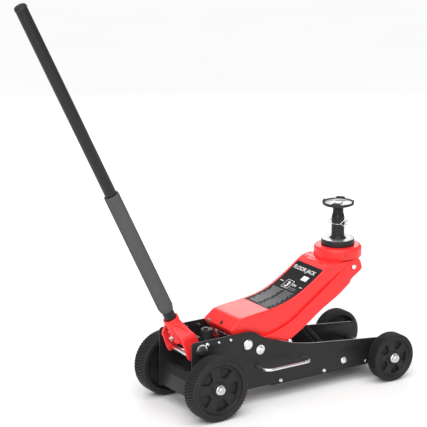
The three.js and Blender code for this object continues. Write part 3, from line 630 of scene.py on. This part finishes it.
def wheel_form(radius, inner, outer, web, hub, first_pocket):
    """Tyre, pocketed disc and hub of a wheel lying on Z, its outer face upwards."""
    rim = radius * 0.78
    rows = 9
    tread = [(radius, inner + 8 + (outer - inner - 16) * i / rows) for i in range(rows + 1)]
    side_ring = radius * 0.91
    profile = [(rim, web - 16), (rim + 2, inner + 2), (rim + 4, inner), (radius - 7, inner),
               (radius - 2, inner + 3)]
    first = len(profile)
    profile += tread
    last = len(profile) - 1
    profile += [(radius - 2, outer - 3), (radius - 7, outer), (side_ring + 1, outer),
                (side_ring, outer - 1.2), (side_ring - 2, outer - 1.2), (side_ring - 3, outer),
                (rim + 4, outer), (rim + 1.5, outer - 1.5), (rim, outer - 5), (rim - 1, web + 3), (rim - 4, web)]
    segments = 320

    def grooves(r, i, j):
        if first <= j <= last and (i + j) % 5 in (0, 1):
            return r - 3.4
        if first - 2 <= j <= last + 2 and (i + j) % 5 in (0, 1):
            return r - 1.8
        return r

    tyre = turned(profile, segments, closed=True, warp=grooves)
    pockets = []
    for k in range(5):
        middle = -math.radians(first_pocket + 72 * k)
        half = math.radians(21)
        outer_r, inner_r = rim * 0.87, rim * 0.46
        mean = (outer_r + inner_r) / 2
        box = softened([(-half * mean, inner_r), (half * mean, inner_r), (half * mean, outer_r),
                        (-half * mean, outer_r)], 8, 4, True)
        pocket = []
        for (u, r), (next_u, next_r) in zip(box, box[1:] + box[:1]):
            for step in range(5):
                across, reach = u + (next_u - u) * step / 5, r + (next_r - r) * step / 5
                squeeze = 0.72 + 0.28 * (reach - inner_r) / (outer_r - inner_r)
                angle = middle + across / mean * squeeze
                pocket.append((reach * math.cos(angle), reach * math.sin(angle)))
        pockets.append(pocket)
    edge, eye = circle(0, 0, rim + 1, 96), circle(0, 0, hub - 2)
    disc = joined(plate(edge, web - 9, web, 1.8, [eye, *pockets], 3),
                  plate(edge, web - 16, web - 8.6, 0.8, [eye], 1))
    disc = moved(disc, Matrix.Rotation(math.pi / 2, 4, "X"))
    boss = hollow([(10.3, 101), (hub, 101), (hub, web - 14), (hub + 3, web - 3), (hub + 1, web + 1),
                   (hub - 2, HUB_FACE_Y), (10.3, HUB_FACE_Y)], 1.2, 2, 64)
    return tyre, disc, boss


for name, x, radius, inner, outer, hub in (("rear", 0, REAR_RADIUS, 122.7, 182, 24),
                                           ("front", FRONT_AXLE_X, FRONT_RADIUS, 129.3, 180, 21)):
    for label, side in SIDES:
        tyre, disc, boss = wheel_form(radius, inner, outer, WEB_Y, hub, 66)
        whole = joined(tyre, disc, boss)
        turn = outwards(x, radius, side)
        piece(f"{name}_wheel_{label}_moulded", moved(whole, turn), COMPOSITE, f"{name}_wheel_{label}",
              [f"{name}_wheel_{label}"], angle=28)
        nut = joined(washer(16, 10.2, 1.6, HUB_FACE_Y + 0.3), hexagonal(25, 8.6, 9.6, rise=HUB_FACE_Y + 1.9))
        piece(f"{name}_axle_nut_{label}_hex", moved(nut, outwards(x, radius, side)), ZINC, "chassis",
              [f"{name}_axle_nut_{label}"])
    axle = solid([(0, -180), (9.6, -180), (9.6, 180), (0, 180)], 1.2, 2, 40)
    tips = [moved(threaded_end(9.6, HUB_FACE_Y, 189), outwards(x, radius, side)) for _, side in SIDES]
    piece(f"{name}_axle_turned", joined(moved(axle, outwards(x, radius, 1)), *tips), STEEL, "chassis",
          [f"{name}_axle"])

# ---------------------------------------------------------------- lift arm

# The arm's cover, side on, from the nose forward: top x, z, lower edge x, z.
COVER_LINE = [
    (122, 234, 137, 231), (113, 243, 142, 230), (106, 253.5, 148, 229), (104.5, 260, 152, 228.5),
    (108.5, 266.5, 156, 228), (118, 274, 163, 227), (130, 283, 172, 227), (138.5, 289, 180, 227),
    (144, 291.6, 188, 226.5), (152, 293.6, 197, 225.5), (180, 297, 214, 223), (223, 301.5, 245, 219.8),
    (270, 307, 284, 229), (318, 317, 332, 246), (360, 332, 368, 266), (402, 354, 406, 292),
    (441, 378.5, 445, 318), (480, 406, 487, 346), (497, 416.5, 508, 360.5), (512, 420.6, 528, 375),
    (545, 421, 556, 395), (590, 421, 590, 418),
]
# With each, the corner radius and half width; both shrink over the last three.
COVER = [(*line, 6, 81) for line in COVER_LINE[:-3]]
COVER += [(*line, radius, 80.9) for line, radius in zip(COVER_LINE[-3:], (5, 3, 2.5))]
FRONT_STATION = len(COVER) - 5
TUCKED_HALF = 75.8
LIP_LENGTHS = (7, 14)
KNUCKLE_RADIUS = 95
INNER_KNUCKLE_RADIUS = 105


def cover_at(t):
    """The cover's section at station t, smooth between the listed stations."""
    i = min(int(t), len(COVER) - 2)
    f = t - i
    a, b, c, d = (COVER[min(max(i + k, 0), len(COVER) - 1)] for k in (-1, 0, 1, 2))
    if i >= FRONT_STATION:
        return [p + (q - p) * f for p, q in zip(b, c)]
    return [smooth(*near, f) for near in zip(a, b, c, d)]


def cover_inward(t):
    """The direction from the cover's top line into the arm."""
    near, far = cover_at(max(0, t - 0.05)), cover_at(min(len(COVER) - 1, t + 0.05))
    along = Vector((far[0] - near[0], far[1] - near[1])).normalized()
    return Vector((along.y, -along.x))


def front_limit(y):
    """How far forward the cover's top reaches at this Y, clear of the yoke as it tips."""
    clear = INNER_KNUCKLE_RADIUS + 1.2 if abs(y) < 49 else KNUCKLE_RADIUS + 1.2 if abs(y) < 74 else 62
    return ARM_FRONT[0] - math.sqrt(clear ** 2 - 24 ** 2)


def cover_rows():
    """Rows of points along the arm: top, rounded corner, side wall, and the lip behind the arm plate."""
    top_steps, arc_steps, wall_steps = 9, 6, 12
    stations = [k * 0.2 for k in range(FRONT_STATION * 5 + 1)]
    last = len(COVER) - 1

    def station_of(x):
        k = max(k for k in range(FRONT_STATION, last) if COVER[k][0] <= x or k == FRONT_STATION)
        return k + (x - COVER[k][0]) / (COVER[k + 1][0] - COVER[k][0])

    rows = []
    for j in range(top_steps + arc_steps + wall_steps + len(LIP_LENGTHS)):
        row = []
        if j < top_steps:
            end = station_of(front_limit(j / top_steps * 74))
        elif j < top_steps + arc_steps:
            end = station_of(front_limit(74 + 7 * (j - top_steps) / (arc_steps - 1)))
        else:
            end = last
        for t in stations + [FRONT_STATION + (end - FRONT_STATION) * k / 20 for k in range(1, 21)]:
            x, z, low_x, low_z, radius, half = cover_at(t)
            inward = cover_inward(t)
            if j < top_steps:
                row.append((x, (half - radius) * j / top_steps, z))
            elif j < top_steps + arc_steps:
                bend = math.pi / 2 * (j - top_steps) / (arc_steps - 1)
                drop = radius * (1 - math.cos(bend))
                row.append((x + inward.x * drop, half - radius + radius * math.sin(bend),
                            z + inward.y * drop))
            else:
                start = Vector((x + inward.x * radius, z + inward.y * radius))
                end_point = Vector((low_x, low_z))
                step = j - top_steps - arc_steps + 1
                hold = min(1, max(0, (545 - x) / 70))
                if step <= wall_steps:
                    spot = start.lerp(end_point, step / wall_steps)
                else:
                    past = max(0.6, LIP_LENGTHS[step - wall_steps - 1] * hold)
                    spot = end_point + (end_point - start).normalized() * past
                left = (end_point - spot).length if step <= wall_steps else 0
                tuck = (half - TUCKED_HALF) * hold * max(0, 1 - left / 30) ** 1.5
                row.append((spot.x, half - tuck, spot.y))
        rows.append(row)
    mirrored = [[(x, -y, z) for x, y, z in row] for row in rows[:0:-1]]
    return mirrored + rows


piece("lift_arm_cover", sheet_of(cover_rows()), RED, "lift_arm", ["lift_arm_shell"], angle=60,
      thickness=1.6, closed=False)


def arm_plate_outline():
    points = [(165, 235), (200, 226), (238, 219)]
    points += through([(238, 219), (282, 228), (347, 252), (390, 281), (444, 317), (504, 359), (557, 395),
                       (591, 418)], 5)[1:]
    points += softened([(591, 418), (618, 424), (632, 386), (605, 369)], 18, 6)[1:]
    points += [(587, 358)]
    points += through([(578, 342), (529, 307), (461, 268), (387, 218), (326, 183)], 6)
    points += [(302, 164), (276, 158), (172, 190)]
    points += arc(*ARM_PIVOT, 25, -52, -288, 18)
    return points


for label, side in SIDES:
    low, high = sorted((side * 77.3, side * 85.5))
    holes = [circle(*ARM_PIVOT, 15.2), circle(*RAM_PIN, 9.2), circle(*ARM_FRONT, 8.8)]
    piece(f"arm_plate_{label}_pressed", plate(arm_plate_outline(), low, high, 3.2, holes, 4), RED, "lift_arm",
          [f"arm_plate_{label}"], angle=50)

plug_place = (at(110.4, -15, 270.8) @ Matrix.Rotation(math.radians(-50), 4, "Y")
              @ Matrix.Diagonal((1.7, 1, 1, 1)))
nose_plug = moved(turned([(0, 0.5), (4.4, 0.5), (4.4, -1), (0, -1)], 24), plug_place)
piece("nose_access_plug", nose_plug, PLASTIC, "lift_arm")
nose_bolt = moved(joined(washer(8, 2, 1.2), hexagonal(12, 4.4, rise=1.2)),
                  at(106, 50, 261) @ Matrix.Rotation(math.radians(-94), 4, "Y"))
piece("nose_bolt", nose_bolt, OLIVE, "lift_arm", slot="zinc")

shaft = [(0, -106), (14.9, -106), (14.9, -70), (11, -69), (11, 69), (14.9, 70), (14.9, 106), (0, 106)]
shaft = softened(shaft, 1.6, 3)
shaft_cap = solid([(17.5, 100.4), (17.5, 103), (15, 104.6), (12, 104.6)], 0.6, 2, 40)
caps = [moved(shaft_cap, outwards(*ARM_PIVOT, side)) for _, side in SIDES]
piece("lift_arm_shaft_turned", joined(moved(turned(shaft, 48), outwards(*ARM_PIVOT, 1)), *caps), ZINC,
      "lift_arm", ["lift_arm_shaft"])
front_pin = solid([(0, -87.4), (8.4, -87.4), (8.4, 87.4), (0, 87.4)], 1.4, 3, 40)
piece("arm_front_pin_turned", moved(front_pin, outwards(*ARM_FRONT, 1)), ZINC, "lift_arm", ["arm_front_pin"])


def spring_path(length, radius, coils, hook):
    """A coil between two hooks, along +X from the origin."""
    points = []
    for k in range(9):
        angle = math.radians(-150 + 200 * k / 8)
        points.append((hook * math.sin(angle), 0, -hook * math.cos(angle)))
    start, end = hook + 6, length - hook - 6
    steps = coils * 12
    for k in range(steps + 1):
        angle = 2 * math.pi * k / 12
        points.append((start + (end - start) * k / steps, radius * math.sin(angle), radius * math.cos(angle)))
    for k in range(9):
        angle = math.radians(-50 + 200 * k / 8)
        points.append((length + hook * math.sin(angle), 0, hook * math.cos(angle)))
    return points


run = Vector((SPRING_ROD[0] - SPACER_ROD[0], SPRING_ROD[1] - SPACER_ROD[1]))
for label, side in SIDES:
    tilt = -math.atan2(run.y, run.x)
    lie = at(SPACER_ROD[0], side * 40, SPACER_ROD[1]) @ Matrix.Rotation(tilt, 4, "Y")
    spring = moved(swept(spring_path(run.length, 5.4, 30, 8.2), 1.25, 8), lie)
    coil = piece(f"return_spring_{label}_coiled", spring, DARK_SPRING, None, [f"return_spring_{label}"],
                 "spring_steel")
    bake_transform(coil)

# Label on the arm's top: a dark panel with generic lettering and ruled bars.


def on_cover(along, across, lift):
    """The point above the cover's top, along in millimetres from the label's lower end."""
    t = LABEL_TABLE[-1][1] if along > 0 else LABEL_TABLE[0][1]
    for (s0, t0), (s1, t1) in zip(LABEL_TABLE, LABEL_TABLE[1:]):
        if s0 <= along <= s1:
            t = t0 + (t1 - t0) * (along - s0) / (s1 - s0)
            break
    x, z = cover_at(t)[:2]
    inward = cover_inward(t)
    return (x - inward.x * lift, across + LABEL_SHIFT, z - inward.y * lift)


LABEL_START = 11.72
LABEL_SHIFT = -4


def label_table():
    table, travelled, previous = [], 0.0, None
    t = LABEL_START
    while cover_at(t)[0] < 476:
        place = Vector(cover_at(t)[:2])
        if previous is not None:
            travelled += (place - previous).length
        table.append((travelled, t))
        previous = place
        t += 0.05
    return table


LABEL_TABLE = label_table()
LABEL_LENGTH = LABEL_TABLE[-1][0]
LABEL_HALF = 71


def label_patch(s0, s1, y0, y1, lift, depth=0.5):
    """A thin block lying on the cover between two lengths and two widths."""
    columns = max(2, int((s1 - s0) / 5) + 1)
    top, low = [], []
    for i in range(columns + 1):
        s = s0 + (s1 - s0) * i / columns
        top.append([on_cover(s, y, lift) for y in (y0, y1)])
        low.append([on_cover(s, y, lift - depth) for y in (y0, y1)])
    return slab(top, low)


def label_text(words, size, s, y, lift, stretch=1.0, heavy=0.0):
    """Lettering across the arm, read from the left side, standing towards the saddle."""
    curve = bpy.data.curves.new("lettering", "FONT")
    curve.body = words
    curve.size = size
    curve.align_x = "CENTER"
    curve.offset = heavy
    points, faces = mesh_of(curve)
    return [on_cover(s + p.y, y - p.x * stretch, lift) for p in points], faces


piece("label_panel", label_patch(0, LABEL_LENGTH, -LABEL_HALF, LABEL_HALF, 0.5), LABEL_BLACK, "lift_arm")
whites = [
    label_text("FLOOR JACK", 21, LABEL_LENGTH - 32, 4, 0.8, 0.98, 0.35),
    label_patch(LABEL_LENGTH - 66, LABEL_LENGTH - 46, -48, -18, 0.8),
    *[label_patch(LABEL_LENGTH - 96, LABEL_LENGTH - 93.4, *ends, 0.8) for ends in ((42, 61), (-61, -48))],
    label_text("3", 34, LABEL_LENGTH - 112, 12, 0.8, 1.0, 1.1),
    label_text("TON", 13, LABEL_LENGTH - 100, -16, 0.8, 1.0, 0.3),
]
for s0, s1, y0, y1 in ((-118, -116.6, -6, 30), (-82, -80.6, -6, 30), (-118, -80.6, 28.8, 30.2),
                       (-118, -80.6, -6, -4.6)):
    whites.append(label_patch(LABEL_LENGTH + s0, LABEL_LENGTH + s1, y0, y1, 0.8))
piece("label_white_ink", joined(*whites), LABEL_WHITE, "lift_arm", closed=False, merge=False)
greys = []
# Two columns of ruled bars with ragged ends.
for pitch, tall, ends in ((6.6, 4.2, lambda k: (3 + (k * 5) % 8, 60 - (k * 3) % 10)),
                          (7, 3.4, lambda k: (-57 + (k * 7) % 11, -4 - (k * 5) % 9))):
    line, k = LABEL_LENGTH - 128, 0
    while line > 8:
        greys.append(label_patch(line - tall, line, *ends(k), 0.7))
        line -= pitch
        k += 1
for s0, s1 in ((-112, -108), (-119, -116)):
    greys.append(label_patch(LABEL_LENGTH + s0, LABEL_LENGTH + s1, -46, -12, 0.7))
piece("label_grey_ink", joined(*greys), LABEL_GREY, "lift_arm", closed=False, merge=False)

# ---------------------------------------------------------------- saddle

LIP_RADIUS = 80.5
EASE = 11
collar = [(0, 386), (73, 386), (73, 416), (LIP_RADIUS, 421.2), (LIP_RADIUS, COLLAR_TOP - EASE)]
collar = softened(collar, 2, 3)
collar += arc(LIP_RADIUS - EASE, COLLAR_TOP - EASE, EASE, 9, 90, 10)
collar += [(LIP_RADIUS - EASE - 0.5, COLLAR_TOP), (0, COLLAR_TOP)]
knuckles = []
for reach, half, first_angle in ((KNUCKLE_RADIUS, 71.4, 166.9), (INNER_KNUCKLE_RADIUS, 46, 171)):
    knuckle = arc(*ARM_FRONT, reach, first_angle, 186, 10) + [(530, 386), (588, 386), (588, 420.8),
                                                              (530, 420.8)]
    if reach == INNER_KNUCKLE_RADIUS:
        knuckle += [(512, 420.4), (497, 416.3)]
    knuckles.append(plate(softened(knuckle, 1.5, 2, True), -half, half, 1.2))
lug = softened([(556, 400), (566, 372), (570, 346), (614, 346), (618, 372), (622, 400)], 16, 6, True)
links_front = (ARM_FRONT[0] + LINK_OFFSET[0], ARM_FRONT[1] + LINK_OFFSET[1])
lugs = plate(lug, -57.8, 57.8, 2, [circle(*links_front, 7.3)])
collar_form = moved(turned(collar, 96), at(SADDLE_X, 0, 0))
piece("saddle_yoke_cast", joined(collar_form, lugs, *knuckles), RED, "saddle_yoke", ["saddle_yoke"], angle=40)
screw = turned([(0, 0.4), (3.2, 0.4), (3.2, -0.6), (0, -0.6)], 20)
screw_place = at(566, -77.6, 437) @ Matrix.Rotation(math.radians(107), 4, "X")
piece("yoke_set_screw", moved(screw, screw_place), DARK_BOLT, "saddle_yoke", slot="steel")

base_low = COLLAR_TOP + 0.3
base = softened([(0, base_low), (56, base_low), (56, 479), (27, 479), (25, 483), (22, 487), (22, 552),
                 (19, 565), (18.4, 565)], 1.4, 3)
piece("saddle_base_turned", moved(turned(base + [(18.4, 540)], 72), SADDLE), BLACK, "saddle", ["saddle_base"])
# A pale ring over the black base's top face: painted highlight of the light the upward face catches.
ring = hollow([(28.5, 478.9), (54.4, 478.9), (54.4, 479.7), (28.5, 479.7)], 0.3, 2, 72)
piece("saddle_base_face", moved(ring, SADDLE), SHEEN_PAINTED_STEEL, "saddle", slot="steel")
post = softened([(0, 492), (17.9, 492), (17.9, 585.6), (0, 585.6)], 1.0, 2)
piece("extension_post_turned", moved(turned(post, 56), SADDLE), BLACK, "saddle", ["extension_post"])

dish = softened([(0, 586.2), (20, 586.2), (26, 590), (49, 594.6), (53, 597), (53, 605), (49, 605), (47, 602),
                 (44, 598.5), (14, 598.5), (0, 598.5)], 1.4, 3)
tab = softened([(-16, 600), (16, 600), (15, 607.5), (12, 610), (-12, 610), (-15, 607.5)], 1.2, 2, True)
tabs = []
for k in range(4):
    lie = Matrix.Rotation(math.radians(90 * k), 4, "Z")
    tabs.append(moved(plate(tab, 47.2, 52, 0.9), lie))
piece("saddle_dish_cast", moved(joined(turned(dish, 96), *tabs), SADDLE), IRON, "saddle", ["saddle_dish"])
# The dish's pale liner is a painted reflection of the bright surroundings; the hub stands for a bare metal end.
liner = hollow([(13.4, 598.6), (43.8, 598.6), (46.2, 601.6), (45.4, 601.9), (43.2, 599.4), (13.4, 599.4)],
               0.3, 1, 96)
hub = softened([(0, 598), (15, 598), (15, 602), (13, 603), (0, 603)], 0.8, 2)
piece("saddle_dish_face", moved(joined(liner, turned(hub, 48)), SADDLE), SHEEN_PAINTED_STEEL, "saddle", slot="steel")

along_x = Matrix.Rotation(math.pi / 2, 4, "Y")
pin = softened([(0, -29), (3.4, -29), (4.4, -27), (4.4, 24.6), (8, 24.6), (8, 33), (6, 34), (0, 34)], 0.8, 2)
pin_form = moved(turned(pin, 36), at(0, 0, LOCK_PIN_Z) @ along_x)
piece("lock_pin_turned", moved(pin_form, SADDLE), ZINC, "lock_pin", ["lock_pin"])
front_run = [(-22.5 * math.sin(math.radians(a)), -23.4 * math.cos(math.radians(a)), LOCK_PIN_Z - 1)
             for a in (-28, -10, 10, 30, 50, 66)]
hook_run = [(-24.5, -3, LOCK_PIN_Z - 0.5), (-28.5, 0, LOCK_PIN_Z), (-32.5, 1, LOCK_PIN_Z + 2),
            (-31, 2.5, LOCK_PIN_Z + 7), (-26, 4, LOCK_PIN_Z + 9.5), (-23.4, 5.5, LOCK_PIN_Z + 6)]
wires = [swept(through(front_run + hook_run, 5), 1.4, 10)]
for rise in (1, -1):
    fork = [(15.2, -18.2, LOCK_PIN_Z + 3.4 * rise), (20.2, -13.4, LOCK_PIN_Z + 8.6 * rise),
            (25.2, -8.6, LOCK_PIN_Z + 12.4 * rise), (29, -4.2, LOCK_PIN_Z + 12.8 * rise),
            (30.4, 0, LOCK_PIN_Z + 11.4 * rise)]
    wires.append(swept(through([(11.0, -20.7, LOCK_PIN_Z - 1)] + fork, 5), 1.3, 10))
wires.append(swept([(30.4, 0, LOCK_PIN_Z - 11.6), (30.4, 0, LOCK_PIN_Z + 11.6)], 1.2, 10))
piece("lock_pin_wire", moved(joined(*wires), SADDLE), ZINC, "lock_pin_bail", ["lock_pin_bail"],
      "spring_steel", merge=False)

# ---------------------------------------------------------------- hydraulic unit

tank = softened([(0, 196.4), (20.8, 196.4), (20.8, 253.8), (0, 253.8)], 3, 4)
bands = [hollow([(19, z), (21.4, z), (21.4, z + 3), (19, z + 3)], 1, 2, 48) for z in (203, 246)]
piece("oil_reservoir_turned", moved(joined(turned(tank, 56), *bands), at(64, 0, 0)), IRON, "chassis",
      ["oil_reservoir"])
plug = joined(hexagonal(13.8, 3.6, rise=255.2), washer(8, 2, 0.9, 254.2))
piece("oil_filler_plug_hex", moved(plug, at(60, 0, 0)), DARK_BOLT, "chassis", ["oil_filler_plug"], "zinc")

block = softened([(14, 68), (54, 68), (54, 146), (84, 152), (84, 196), (35, 196), (14, 196)], 4, 3, True)
tower = softened([(14, 190), (34, 190), (34, 234), (14, 234)], 3, 3, True)
trunnion_lug = [(30, 84), (TRUNNION[0], TRUNNION[1] - 18)] + arc(*TRUNNION, 18, -90, 90, 16) + [(30, 124)]
barrel = moved(hollow([(8.5, 30), (14, 30), (14, 46), (8.5, 46)], 1.2, 2, 40), PLUNGER @ along_x)
trunnion_hole = [circle(*TRUNNION, 9.3)]
block_form = joined(
    plate(block, -34, 34, 2.5, steps=3), plate(tower, -13.8, 13.8, 2, [], 3),
    plate(trunnion_lug, -43, -31, 2, trunnion_hole), plate(trunnion_lug, 31, 43, 2, trunnion_hole), barrel)
piece("pump_block_cast", block_form, IRON, "chassis", ["pump_block"], angle=40)
block_bolts = [moved(hexagonal(13, 5), at(14.2, y, z) @ back) for y in (-24, 24) for z in (84, 176)]
piece("pump_block_bolts", joined(*block_bolts), ZINC, "chassis")

plunger = softened([(0, 0), (12, 0), (12, 5), (8, 5), (8, 60), (0, 60)], 0.8, 2)
piece("pump_plunger_turned", moved(turned(plunger, 40), PLUNGER @ along_x), STEEL, "pump_plunger",
      ["pump_plunger"])
COIL_RADIUS, COIL_START, COIL_LENGTH, PER_TURN, TURNS = 11.1, 6.6, 22, 14, 7
coil = [(COIL_RADIUS * math.cos(2 * math.pi * k / PER_TURN),
         COIL_RADIUS * math.sin(2 * math.pi * k / PER_TURN),
         COIL_START + COIL_LENGTH * k / (PER_TURN * TURNS)) for k in range(PER_TURN * TURNS + 1)]
pump_spring = piece("pump_spring_coiled", moved(swept(coil, 1.1, 8), PLUNGER @ along_x), SPRING, "chassis",
                    ["pump_spring"])
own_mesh(pump_spring)
stem = solid([(0, -6), (5.9, -6), (5.9, 27), (0, 27)], 0.8, 2, 32)
bar = moved(plate(softened([(-10, -10), (-5, -10), (-5, 10), (-10, 10)], 1, 2, True), -4, 4, 0.8),
            at(0, 0, 222))
piece("release_valve_turned", joined(moved(stem, at(0, 0, 222) @ along_x), bar), STEEL, "release_valve",
      ["release_valve_stem"])

# ---------------------------------------------------------------- handle socket

RIM = 108
TUBE_RADIUS = 24.5


def socket_front_rows():
    """The socket's front wall: wrapped round the tube at the top, opening to the full width below."""
    rows = []
    for k in range(25):
        w = 100 - 84 * k / 24
        open_out = min(1, max(0, (100 - w) / 70))
        half = TUBE_RADIUS + (66 - TUBE_RADIUS) * open_out ** 0.9
        row = []
        for i in range(33):
            t = -1 + 2 * i / 32
            round_x = HANDLE_OFFSET + TUBE_RADIUS * math.sqrt(max(0, 1 - (t * half / TUBE_RADIUS) ** 2))
            flat_x = 19 - 5 * t * t
            x = max(round_x, HANDLE_OFFSET + (flat_x - HANDLE_OFFSET) * min(1, open_out * 1.25))
            if open_out < 0.12:
                x = round_x
            row.append((x, t * half, w))
        rows.append(row)
    return rows


tube = hollow([(19.9, 19), (TUBE_RADIUS, 19), (TUBE_RADIUS, 96), (TUBE_RADIUS + 1.5, 99),
               (TUBE_RADIUS + 1.5, RIM), (19.9, RIM)], 1.6, 3, 72)
cheek = [(20, 14), (20, 40), (10, 50), (-26, 54), (-34, 42), (-41, -16), (-38, -30), (-14, -34), (10, -16)]
cheek = softened(cheek, 8, 5, True)
cheek_holes = [circle(0, 0, 9.3), circle(*ROLLER, 5.3)]
floor_rib = softened([(-64, 14), (64, 14), (64, 20), (-64, 20)], 2, 2, True)
socket_parts = [
    moved(tube, at(HANDLE_OFFSET, 0, 0)),
    plate(cheek, -66, -56, 3, cheek_holes, 3),
    plate(cheek, 56, 66, 3, cheek_holes, 3),
]

front = socket_front_rows()
backing = [[(x - 7 if abs(y) > 20 else x - 3, y * 0.985, z) for x, y, z in row] for row in front]
socket_parts.append(slab(front, backing))
SHOULDER = [(21, 101), (26, 90), (34, 77), (45, 63), (56, 51), (63, 43), (66, 34)]
for _, side in SIDES:
    outer_rows, inner_rows = [], []
    spine = [Vector(spot) for spot in through(SHOULDER, 4)]
    for k, spot in enumerate(spine):
        f = k / (len(spine) - 1)
        ahead = spine[min(k + 1, len(spine) - 1)] - spine[max(k - 1, 0)]
        inwards = Vector((-ahead.y, ahead.x)).normalized() * -7
        rear, fore = HANDLE_OFFSET - 14 - 14 * f, HANDLE_OFFSET + 16 + 12 * f
        depth = [rear + (fore - rear) * i / 12 for i in range(13)]
        crown = [1.6 * (1 - abs(2 * i / 12 - 1) ** 4) * (1 - f) for i in range(13)]
        outer_rows.append([(x, side * (spot.x + c), spot.y) for x, c in zip(depth, crown)])
        inner_rows.append([(x, side * (spot.x - abs(inwards.x)), spot.y - abs(inwards.y) * 0.6)
                           for x in depth])
    socket_parts.append(slab(outer_rows, inner_rows))
    rib = softened([(-28, 16), (12, 16), (12, 70), (-12, 88), (-24, 60)], 4, 3, True)
    socket_parts.append(plate(rib, 24 * side - 2.5, 24 * side + 2.5, 1.4))
deck = moved(plate(floor_rib, -12, 14, 1.8), Matrix.Rotation(math.pi / 2, 4, "Z"))
socket_parts.append(deck)
piece("handle_socket_cast", moved(joined(*socket_parts), HANDLE), RED, "handle_socket", ["handle_socket"],
      angle=42)

clamp = joined(hexagonal(15, 7), turned([(0, -14), (5, -14), (5, 0), (0, 0)], 24), washer(10, 4, 1.4, -1.4))
clamp_form = moved(clamp, at(-34.6, 0, 42) @ back)
piece("socket_clamp_bolt_hex", moved(clamp_form, HANDLE), ZINC, "handle_socket", ["socket_clamp_bolt"])
side_bolt = joined(hexagonal(13, 6), washer(9, 3, 1.4, -1.4))
piece("socket_side_bolt", moved(side_bolt, HANDLE @ at(-14.5, 40, 40) @ back), ZINC, "handle_socket")
front_screw = moved(domed_screw(5, 3.6), HANDLE @ at(15, 22, 84) @ along_x)
piece("socket_front_screw", front_screw, ZINC, "handle_socket")

across = outwards(*ROLLER, 1)
roller = hollow([(5.3, -55), (8.9, -55), (8.9, 55), (5.3, 55)], 0.8, 2, 40)
piece("pump_roller_turned", moved(roller, HANDLE @ across), ZINC, "handle_socket", ["pump_roller"])
roller_pin = softened([(0, -65.8), (4.9, -65.8), (4.9, 65.8), (0, 65.8)], 0.8, 2)
piece("roller_pin_turned", moved(turned(roller_pin, 28), HANDLE @ across), STEEL, "handle_socket",
      ["roller_pin"])

for label, side in SIDES:
    shank = turned([(0, 54.6), (8.9, 54.6), (8.9, 101), (0, 101)], 36)
    ring = washer(20.5, 8.5, 1.9, 100.2)
    piece(f"handle_pivot_bolt_{label}_shank", moved(joined(shank, ring), outwards(*SOCKET_PIVOT, side)), ZINC,
          "chassis", [f"handle_pivot_bolt_{label}"])
    head = hexagonal(29, 6.6)
    head_place = outwards(*SOCKET_PIVOT, side) @ at(0, 0, 102.2)
    piece(f"handle_pivot_head_{label}", moved(head, head_place), DARK_BOLT, "chassis", slot="zinc")

# ---------------------------------------------------------------- handle


def along_handle(node_name, made, form, material):
    piece(f"{node_name}_{made}", moved(form, HANDLE @ at(HANDLE_OFFSET, 0, 0)), material, "handle",
          [node_name])


SPLIT, TOP = 590, 1277
lower = hollow([(17, 20), (19.4, 20), (19.4, SPLIT), (17, SPLIT)], 0.8, 2, 72)
along_handle("handle_lower_tube", "drawn", lower, BLACK)
upper = hollow([(17, SPLIT + 0.4), (19.4, SPLIT + 0.4), (19.4, TOP), (17, TOP)], 0.8, 2, 72)
along_handle("handle_upper_tube", "drawn", upper, BLACK)
sleeve = hollow([(19.8, 139), (21.2, 139), (25, 153), (25, 594), (22.6, 598), (19.8, 598)], 3, 4, 72)
along_handle("handle_foam_sleeve", "soft", sleeve, FOAM)
cap = [(0, 1264), (16.6, 1264), (16.6, 1277.3), (20.4, 1277.3), (20.4, 1286), (17, 1290), (0, 1290)]
cap_form = turned(softened(cap, 1.6, 3), 72)
along_handle("handle_end_cap", "moulded", cap_form, PLASTIC)

# ---------------------------------------------------------------- carried-over nodes, floor, finish

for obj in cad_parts.values():
    for index, material_slot in enumerate(obj.material_slots):
        key = material_slot.material.name.split(".")[0] if material_slot.material else ""
        material_slot.material = SLOT_MATERIALS.get(key, STEEL)

floor_mesh = bpy.data.meshes.new("floor")
size = 40
floor_mesh.from_pydata([(-size, -size, 0), (size, -size, 0), (size, size, 0), (-size, size, 0)], [],
                       [(0, 1, 2, 3)])
floor = bpy.data.objects.new("floor", floor_mesh)
scene.collection.objects.link(floor)
PALE_FLOOR = finish("pale_floor", (0.93, 0.93, 0.93), 0.7, shade=0.01, grain=60, bump=0.01, mottle=1.5)
floor_mesh.materials.append(PALE_FLOOR)
floor.location = (0, 0, -0.0005)
